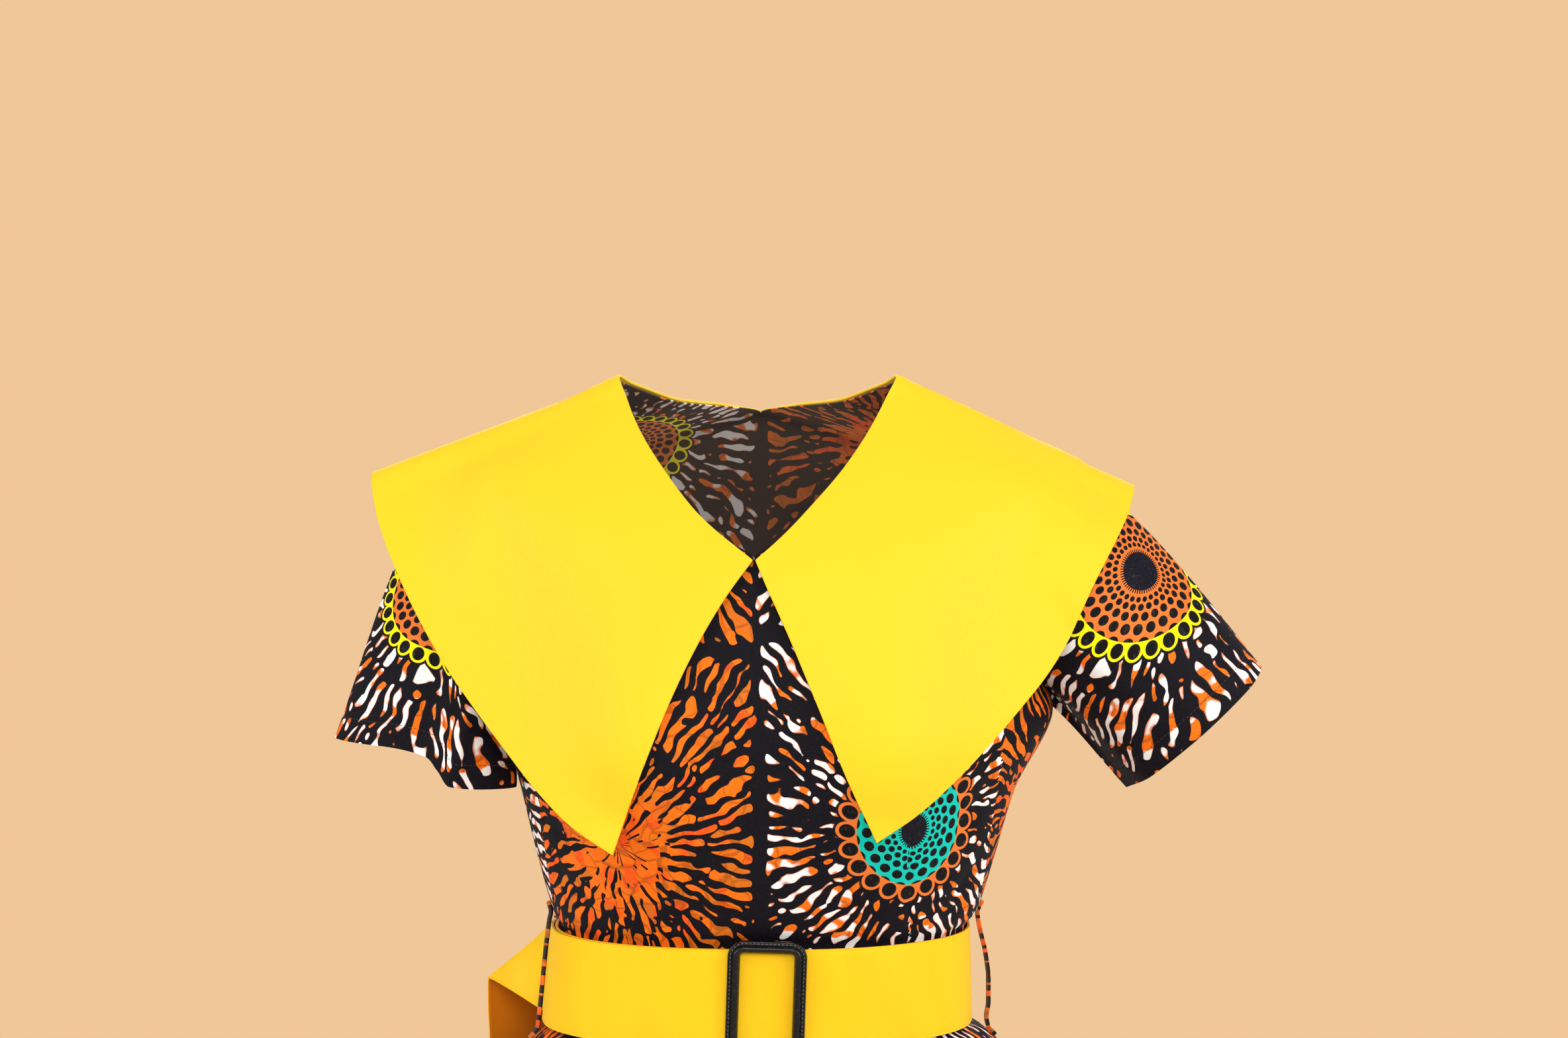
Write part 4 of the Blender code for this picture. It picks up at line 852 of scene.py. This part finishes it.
def collarGrid(side, frontEdge, body):
    # rows from the V round to the centre back, columns from the neckline to the outer edge
    frontNeck = front[side][bodice["vRow"] * fine::fine, 0]
    backNeck = back[side][bodice["nape"] * fine::fine, 0][::-1]
    backEdge = [frontEdge[-1]] + [(-side * x, y, z) for x, y, z in collar["backEdge"]]
    frontShares = np.linspace(0.0, 1.0, collar["frontRows"] + 1)
    backShares = np.linspace(0.0, 1.0, collar["backRows"] + 1)[1:]
    neck = np.concatenate([along(frontNeck, frontShares), along(backNeck, backShares)])
    edge = np.concatenate([along(frontEdge, frontShares), along(backEdge, backShares)])
    spread = np.linspace(0.0, 1.0, collar["columns"] + 1)
    grid = neck[:, None] * (1.0 - spread[None, :, None]) + edge[:, None] * spread[None, :, None]
    for row in range(collar["frontRows"]):
        fade = (1.0 - row / collar["frontRows"]) ** 2
        grid[row, :, 0] += collar["bow"][side] * fade * np.sin(math.pi * spread ** collar["bowSkew"])
    seams = ((0, grid[0, 0, 0], 2.0 * collar["seamGap"]), (-1, grid[-1, 0, 0], collar["seamGap"]))
    places = [[Vector(place) for place in line] for line in grid]
    for passNumber in range(2 * collar["passes"]):
        for row, line in enumerate(places):
            for column, place in enumerate(line):
                lift = collar["neckLift"] if column == 0 else collar["lift"]
                place += clearOf(place, liftWay(row), lift, body)
        if passNumber < collar["passes"]:
            relax(places)
    grid = np.array([[tuple(place) for place in line] for line in places])
    for row, seamX, gap in seams:
        grid[row, :, 0] = side * np.maximum(side * grid[row, :, 0], side * seamX + gap)
    return grid


def relax(places):
    moved = {}
    for row in range(1, len(places) - 1):
        if row == collar["frontRows"]:
            continue
        for column in range(1, len(places[0]) - 1):
            around = places[row - 1][column] + places[row + 1][column]
            around += places[row][column - 1] + places[row][column + 1]
            moved[(row, column)] = places[row][column].lerp(around / 4.0, 0.5)
    for (row, column), place in moved.items():
        places[row][column] = place


def refine(grid, times):
    # a smooth curve through every row and column of the coarse grid
    for axis in (0, 1):
        grid = np.moveaxis(grid, axis, 0)
        keys = np.arange(len(grid))
        at = np.linspace(0, len(grid) - 1, (len(grid) - 1) * times + 1)
        i = np.clip(at.astype(int), 0, len(grid) - 2)
        t = (at - i).reshape((-1,) + (1,) * (grid.ndim - 1))
        tangent = np.gradient(grid, axis=0)
        grid = hermite(t, grid[i], grid[i + 1], tangent[i], tangent[i + 1])
        grid = np.moveaxis(grid, 0, axis)
    return grid


def makeCollar(hand, side, body):
    grid = refine(collarGrid(side, collar[hand + "Edge"], body), fine)
    for row in range(grid.shape[0]):
        way = liftWay(row / fine)
        for column in range(grid.shape[1]):
            share = min(1.0, column / (2.0 * fine))
            lift = collar["neckLift"] * (1.0 - share) + (collar["lift"] - 0.0002) * share
            grid[row, column] += np.array(clearOf(Vector(grid[row, column]), way, lift, body))
    for row in (0, -1):
        grid[row, :, 0] = side * np.maximum(side * grid[row, :, 0], side * grid[row, 0, 0])
    shape = dent(grid, side > 0, collar[hand + "Creases"])
    flat = np.stack([runLength(grid, 1), runLength(grid, 0)], -1)
    return clothPiece("collar%sCloth" % hand.capitalize(), "collar_" + hand,
                      ((shape, flat, side > 0),), collar["wall"], collarMaterial, rounded=0.0006)


body = bodyTree()
leftCollar = makeCollar("left", -1, body)
rightCollar = makeCollar("right", 1, body)
print("collar made")


# ---- belt and its free end

belt = {
    "top": -0.346, "bottom": -0.407,
    "topRing": (0.129, 0.132, 0.096, 0.0842),      # left, right, front, back
    "bottomRing": (0.135, 0.1335, 0.0966, 0.0852),
    "lift": 0.0026, "wall": 0.002,
    # degrees round from the buckle; between liftFrom and liftTo the strap rises to lie on itself
    "start": -2.0, "end": -454.5, "step": 12.0 / fine, "liftFrom": -312.0, "liftTo": -342.0,
    "shares": (0.0, 0.008, 0.018, 0.025, 0.032, 0.045, 0.08, 0.16, 0.28, 0.4, 0.5, 0.6, 0.72, 0.84, 0.92,
               0.955, 0.968, 0.975, 0.982, 0.992, 1.0),
    "groove": 0.00028, "grooveIn": 0.025, "grooveWide": 0.006,
    "ripple": 0.0004, "ripples": 7.0, "rippleFade": 40.0,
    "stations": metres((    # low x y z, high x y z, after the strap's end
        (-148, 19, -402, -134.5, 23, -346.2), (-163, 27, -394.5, -131.5, 36, -345.8),
        (-173.8, 31, -389.2, -127.2, 44, -346.3), (-176.4, 33, -388.4, -125, 47, -348),
        (-177.3, 35.8, -391, -123.4, 50, -351), (-177.6, 41, -410, -119.5, 61, -375),
        (-177.2, 45, -430, -121.5, 73, -415), (-179, 50, -455, -133, 85, -448),
        (-184, 54.5, -478, -145, 96, -480),
    )),
    "leaves": (0.0008, 0.0032),
}


def beltGrid(degrees, lift):
    share = np.array(belt["shares"])[:, None]
    half = [top + (bottom - top) * share + lift[None, :]
            for top, bottom in zip(belt["topRing"], belt["bottomRing"])]
    x, y = ringPoint(np.radians(degrees)[None, :], *half, squareness)
    z = np.broadcast_to(belt["top"] + (belt["bottom"] - belt["top"]) * share, x.shape)
    return np.stack([x, y, z], -1)


def makeStrap(name, node, grid):
    # the pressed edge line lies just inside both edges
    share = np.array(belt["shares"])
    dip = sum(belt["groove"] * np.exp(-((share - line) / belt["grooveWide"]) ** 2)
              for line in (belt["grooveIn"], 1.0 - belt["grooveIn"]))
    flat = np.stack([runLength(grid, 1), runLength(grid, 0)], -1)
    shape = grid - gridNormals(grid, False) * dip[:, None, None]
    return clothPiece(name, node, ((shape, flat, False),), belt["wall"], beltMaterial, rounded=0.0005)


degrees = np.arange(belt["start"], belt["end"] - 0.01, -belt["step"])
degrees[-1] = belt["end"]
share = np.clip((belt["liftFrom"] - degrees) / (belt["liftFrom"] - belt["liftTo"]), 0.0, 1.0)
lift = belt["lift"] * (3.0 * share ** 2 - 2.0 * share ** 3)
fade = np.clip((belt["liftTo"] - degrees) / belt["rippleFade"], 0.0, 1.0)
ripple = belt["ripple"] * np.sin(np.radians(degrees) * belt["ripples"] + 0.6) * fade
beltBand = makeStrap("beltBand", "belt_band", beltGrid(degrees, lift + belt["wall"] + np.abs(ripple)))

middle = belt["lift"] + 0.5 * belt["wall"]
lastEnd = beltGrid(np.array([belt["end"]]), np.array([middle]))[:, 0]
low, high = ([lastEnd[edge] + np.array((0.0, way, 0.0)) for way in belt["leaves"]]
             + [station[cut] for station in belt["stations"]]
             for edge, cut in ((-1, slice(3)), (0, slice(3, 6))))
at = np.linspace(0, len(low) - 1, 22 * fine // 2 + 1)
lowLine, highLine = (smoothLine(np.arange(len(low)), points, at) for points in (low, high))
across = np.array(belt["shares"])[:, None, None]
tailGrid = highLine * (1.0 - across) + lowLine * across
tailGrid = tailGrid + gridNormals(tailGrid, False) * (0.5 * belt["wall"])
beltTail = makeStrap("beltTail", "belt_tail", tailGrid)
print("belt made")


# ---- buckle

buckle = {
    "centre": (0.004, -0.1019, -0.3765), "width": 0.049, "height": 0.073, "corner": 0.0102, "lean": 1.9,
    "section": metres((    # distance in from the outer edge, height above the back face
        (0, 0), (0, 1.4), (0.15, 2.1), (0.5, 2.5), (0.9, 2.6), (1.3, 2.3), (1.7, 2.3), (2.1, 2.5),
        (2.6, 2.4), (2.8, 2.3), (3.1, 2.9), (3.6, 3.8), (4.3, 4.3), (5.1, 4.4), (5.8, 4.1), (6.5, 3.4),
        (7.1, 2.6), (7.6, 1.7), (7.8, 0),
    )),
    "cornerSteps": 14,
    "bar": (0.006, -0.0982, -0.0963, 0.002, 0.0012, 0.0005),   # width, front, back, reach, inset, clearance
    "stitchIn": 0.0017, "stitchOut": 0.0023,
}


def makeLeather():
    # glossy black, scuffed brown in small patches
    g = Graph("buckleLeather")
    here = g.place(*g.flat())
    grain = g.noise(here, 1500.0, 3.0)
    broad = g.noise(here, 420.0, 3.0)
    worn = g.ease(broad, 0.56, 0.7)
    colour = g.mix(worn * 0.5, rgb(12, 10, 11), rgb(52, 36, 28))
    g.bump(grain + worn * 0.5, 0.22, 0.0001)
    return g.finish(colour, 0.2 + grain * 0.12 + worn * 0.16, specular=0.36)


def buckleOutline(inset, lift, steps):
    # points round the frame, this far in from its outer edge
    points = []
    half = (0.5 * buckle["width"] - buckle["corner"], 0.5 * buckle["height"] - buckle["corner"])
    for quarter, (sx, sz) in enumerate(((1, 1), (-1, 1), (-1, -1), (1, -1))):
        for step in range(steps + 1):
            angle = math.radians(90.0 * (quarter + step / steps))
            reach = buckle["corner"] - inset
            x, z = sx * half[0] + reach * math.cos(angle), sz * half[1] + reach * math.sin(angle)
            points.append((x, -lift, z))
    return np.array(points)


def stood(points):
    # leans the buckle and sets it in its place
    lean = math.radians(buckle["lean"])
    sine, cosine = math.sin(lean), math.cos(lean)
    x, y, z = np.moveaxis(points, -1, 0)
    return np.stack([x * cosine + z * sine, y, z * cosine - x * sine], -1) + np.array(buckle["centre"])


def smallMesh(name, points, faces, material, sharp):
    spots = np.array([points[i] for face in faces for i in face])
    return addMesh(name, [tuple(point) for point in points], faces, spots[:, [0, 2]], material, sharp)


leather = makeLeather()
loops = np.array([buckleOutline(inset, height, buckle["cornerSteps"]) for inset, height in buckle["section"]])
framePoints = list(stood(loops.reshape(-1, 3)))
closed = np.pad(np.arange(len(framePoints)).reshape(loops.shape[:2]), ((0, 1), (0, 1)), "wrap")
faces = closed.reshape(-1)[gridQuads(closed, 0)].tolist()
wide, frontY, backY, reach, inset, clearance = buckle["bar"]
end = 0.5 * buckle["height"] - inset
strapHalf = 0.5 * (belt["top"] - belt["bottom"]) + clearance
y0 = buckle["centre"][1]
outline = ((backY - y0, end), (-reach, end), (-reach, strapHalf), (frontY - y0, strapHalf),
           (frontY - y0, -strapHalf), (-reach, -strapHalf), (-reach, -end), (backY - y0, -end))
barPoints = np.array([(x, y, z) for x in (-0.5 * wide, 0.5 * wide) for y, z in outline])
start = len(framePoints)
framePoints += list(stood(barPoints))
for a in range(8):
    b = (a + 1) % 8
    faces.append([start + a, start + b, start + b + 8, start + a + 8])
for quad in ((0, 1, 2, 3), (0, 3, 4, 7), (7, 4, 5, 6)):
    faces.append([start + i for i in reversed(quad)])
    faces.append([start + i + 8 for i in quad])
buckleFrame = smallMesh("buckleFrame", framePoints, faces, leather, 42.0)
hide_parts("belt_buckle")
print("buckle made")


# ---- stitches

thread = {
    "dark": (rgb(24, 20, 20), rgb(74, 66, 64)),
    # the buckle's thread: pale grey, partly painted glints on its stitches
    "glintPale": (rgb(70, 60, 56), rgb(150, 138, 130)),
    # length, gap and width of a stitch
    "sleeve": (0.0022, 0.0009, 0.0004), "skirt": (0.0024, 0.001, 0.00042), "buckle": (0.0015, 0.001, 0.0005),
    "sides": 5, "swell": ((0.0, 0.15), (0.18, 0.85), (0.5, 1.0), (0.82, 0.85), (1.0, 0.15)),
}


def makeThread(name, colour, light):
    g = Graph(name)
    twist = g.noise(g.place(*g.flat()), 3200.0, 2.0)
    g.bump(twist, 0.4, 0.0001)
    return g.finish(g.mix(twist, colour, light), 0.5 + twist * 0.2, sheen=0.05)


def stitchRow(name, route, outward, kind, material):
    # short rounded stitches laid along a route, all one mesh
    length, gap, wide = thread[kind]
    sides, profile = thread["sides"], thread["swell"]
    run = lengthsAlong(route)
    count = max(1, int(run[-1] / (length + gap)))
    points, faces = [], []
    for begin in np.arange(count) * (run[-1] / count):
        base = len(points)
        for share, size in profile:
            here = begin + share * length
            spot, out = between(here, run, route), between(here, run, outward)
            ahead = between(here + 0.0002, run, route) - between(here - 0.0002, run, route)
            beside = np.cross(ahead, out)
            beside /= max(np.linalg.norm(beside), 1e-12)
            for turn in range(sides):
                angle = 2.0 * math.pi * turn / sides
                points.append(spot + beside * (0.5 * wide * size * math.cos(angle))
                              + out * (0.4 * wide * (size * math.sin(angle) + 0.3)))
        for ring in range(len(profile) - 1):
            for turn in range(sides):
                a, b = (base + ring * sides + corner % sides for corner in (turn, turn + 1))
                faces.append([a, b, b + sides, a + sides])
        faces.append([base + turn for turn in reversed(range(sides))])
        faces.append([len(points) - sides + turn for turn in range(sides)])
    piece = smallMesh(name, points, faces, material, 80.0)
    return piece


def routeAt(grid, up, height, turned):
    # the line on a grid at one height above its hem
    normals = gridNormals(grid, turned)
    places, outs = [], []
    for column in range(grid.shape[1]):
        order = np.argsort(up[:, column])
        for found, values in ((places, grid), (outs, normals)):
            found.append(between(height, up[order, column], values[order, column]))
    return np.array(places), np.array(outs)


darkThread = makeThread("darkThread", *thread["dark"])
glintPaleThread = makeThread("glintPaleThread", *thread["glintPale"])
for key, shape, upward, side in (("Left", leftSleeveShape, leftSleeveUp, -1),
                                 ("Right", rightSleeveShape, rightSleeveUp, 1)):
    route, outs = routeAt(shape, upward, sleeves["hemUp"], side > 0)
    stitchRow("sleeveStitches" + key, route, outs, "sleeve", darkThread)
    "sleeve" + key
for key in ("front", "back"):
    half = skirtHalves[key]
    route, outs = routeAt(half, aboveHem(half), skirt["hemUp"], True)
    stitchRow("skirtStitches" + key.capitalize(), route[1:-1], outs[1:-1], "skirt",
                                        darkThread)
    "skirt" + key
route = stood(buckleOutline(buckle["stitchIn"], buckle["stitchOut"], 12))
route = np.concatenate([route, route[:1]])
outs = np.tile((0.0, -1.0, 0.0), (len(route), 1))
stitchRow("buckleStitches", route, outs, "buckle", glintPaleThread)
print("stitches made")


# ---- belt carriers

carriers = {
    "left": metres((
        (-135.8, -333), (-134.2, -339.5), (-135.2, -344.5), (-136.8, -356), (-139, -376), (-141.4, -400),
        (-142.4, -408.5), (-143.1, -414.5), (-148.4, -421.5),
    )),
    "right": metres((
        (142.1, -332.5), (139.2, -340), (140.6, -350), (144.3, -366), (146.4, -384), (146.4, -398),
        (145.2, -408), (146.8, -415), (150.8, -419.5),
    )),
    "width": 0.006, "wall": 0.0028, "y": 0.004, "steps": 64,
    "shift": {"left": -0.0065, "right": 0.2092},      # where in the print each was cut
}


def makeCarrier(hand):
    # a folded strip that stands over the belt, slightly rounded across
    route = along([(x, carriers["y"], z) for x, z in carriers[hand]],
                  np.linspace(0.0, 1.0, carriers["steps"] + 1))
    ahead = np.gradient(route, axis=0)
    ahead /= np.linalg.norm(ahead, axis=1, keepdims=True)
    outward = np.cross(ahead, np.array((0.0, 1.0, 0.0)))
    across = np.linspace(-0.5, 0.5, 9)
    swell = 0.5 * carriers["wall"] * (1.0 - 0.25 * (2.0 * across) ** 4)
    grid = np.stack([route + np.array((0.0, carriers["width"] * a, 0.0)) + outward * s
                     for a, s in zip(across, swell)], 1)
    flat = np.stack(np.broadcast_arrays(carriers["width"] * across[None, :] + carriers["shift"][hand],
                                        runLength(route[:, None], 0)), -1)
    normals = gridNormals(grid, False)
    turned = float((normals * outward[:, None]).sum()) < 0.0
    return clothPiece("carrier%sStrip" % hand.capitalize(), "carrier_" + hand,
                      ((grid, flat, turned),), carriers["wall"], printMaterial, rounded=0.0003)


leftCarrier = makeCarrier("left")
rightCarrier = makeCarrier("right")
print("carriers made")


# ---- floor, light and camera

studio = {
    "floorRadius": 2.6, "floorZ": -1.04,
    "backdrop": rgb(240, 199, 153), "floor": rgb(226, 222, 216), "fill": 0.42,
    "lights": (               # place, aim, size, watts
        ((-2.7, -1.5, 1.0), (0.0, 0.0, -0.3), 2.0, 52.0),
        ((2.7, -1.4, 0.9), (0.0, 0.0, -0.3), 2.0, 56.0),
        ((0.3, -3.2, 1.4), (0.0, 0.0, -0.25), 2.2, 46.0),
        ((0.0, 2.4, 1.2), (0.0, 0.0, -0.3), 2.0, 42.0),
    ),
    "camera": (0.0151, -2.5, 0.0877), "tilt": 86.0, "lens": 90.49,
}


def makeFloor():
    turns = [2.0 * math.pi * k / 96 for k in range(96)]
    points = [(studio["floorRadius"] * math.cos(turn), studio["floorRadius"] * math.sin(turn), z)
              for z in (studio["floorZ"], studio["floorZ"] - 0.01) for turn in turns]
    faces = [list(range(96)), [i + 96 for i in reversed(range(96))]]
    faces += [[i, i + 96, (i + 1) % 96 + 96, (i + 1) % 96] for i in range(96)]
    mesh = bpy.data.meshes.new("floor")
    mesh.from_pydata(points, [], faces)
    g = Graph("floorPaper")
    speck = g.noise(g.add("ShaderNodeTexCoord", "Object"), 40.0, 3.0)
    g.bump(speck, 0.05, 0.001)
    colour = g.mix(speck * 0.15, studio["floor"], rgb(208, 204, 198))
    mesh.materials.append(g.finish(colour, 0.8 + speck * 0.1))
    addItem("floor", mesh)


def makeLights():
    for number, (place, aim, size, watts) in enumerate(studio["lights"]):
        lamp = bpy.data.lights.new("softbox%d" % number, "AREA")
        lamp.shape = "DISK"
        lamp.size = size
        lamp.energy = watts
        item = addItem("softbox%d" % number, lamp)
        item.location = place
        item.rotation_euler = (Vector(aim) - Vector(place)).to_track_quat("-Z", "Y").to_euler()


def makeWorld():
    # the camera sees the warm backdrop, the cloth is lit by a neutral one
    world = bpy.data.worlds.new("studio")
    bpy.context.scene.world = world
    world.use_nodes = True
    nodes, links = world.node_tree.nodes, world.node_tree.links
    nodes.clear()
    blend = nodes.new("ShaderNodeMixShader")
    links.new(nodes.new("ShaderNodeLightPath").outputs["Is Camera Ray"], blend.inputs[0])
    for slot, colour, strength in ((1, (1.0, 0.97, 0.93, 1.0), studio["fill"]), (2, studio["backdrop"], 1.0)):
        light = nodes.new("ShaderNodeBackground")
        light.inputs["Color"].default_value = colour
        light.inputs["Strength"].default_value = strength
        links.new(light.outputs[0], blend.inputs[slot])
    links.new(blend.outputs[0], nodes.new("ShaderNodeOutputWorld").inputs["Surface"])


def makeCamera():
    lens = bpy.data.cameras.new("camera")
    lens.lens = studio["lens"]
    lens.sensor_width = 36.0
    lens.sensor_fit = "HORIZONTAL"
    lens.clip_start = 0.05
    item = addItem("camera", lens)
    item.location = studio["camera"]
    item.rotation_euler = (math.radians(studio["tilt"]), 0.0, 0.0)
    bpy.context.scene.camera = item


makeFloor()
makeLights()
makeWorld()
makeCamera()
bpy.context.scene.view_settings.view_transform = "Standard"
print("studio made")
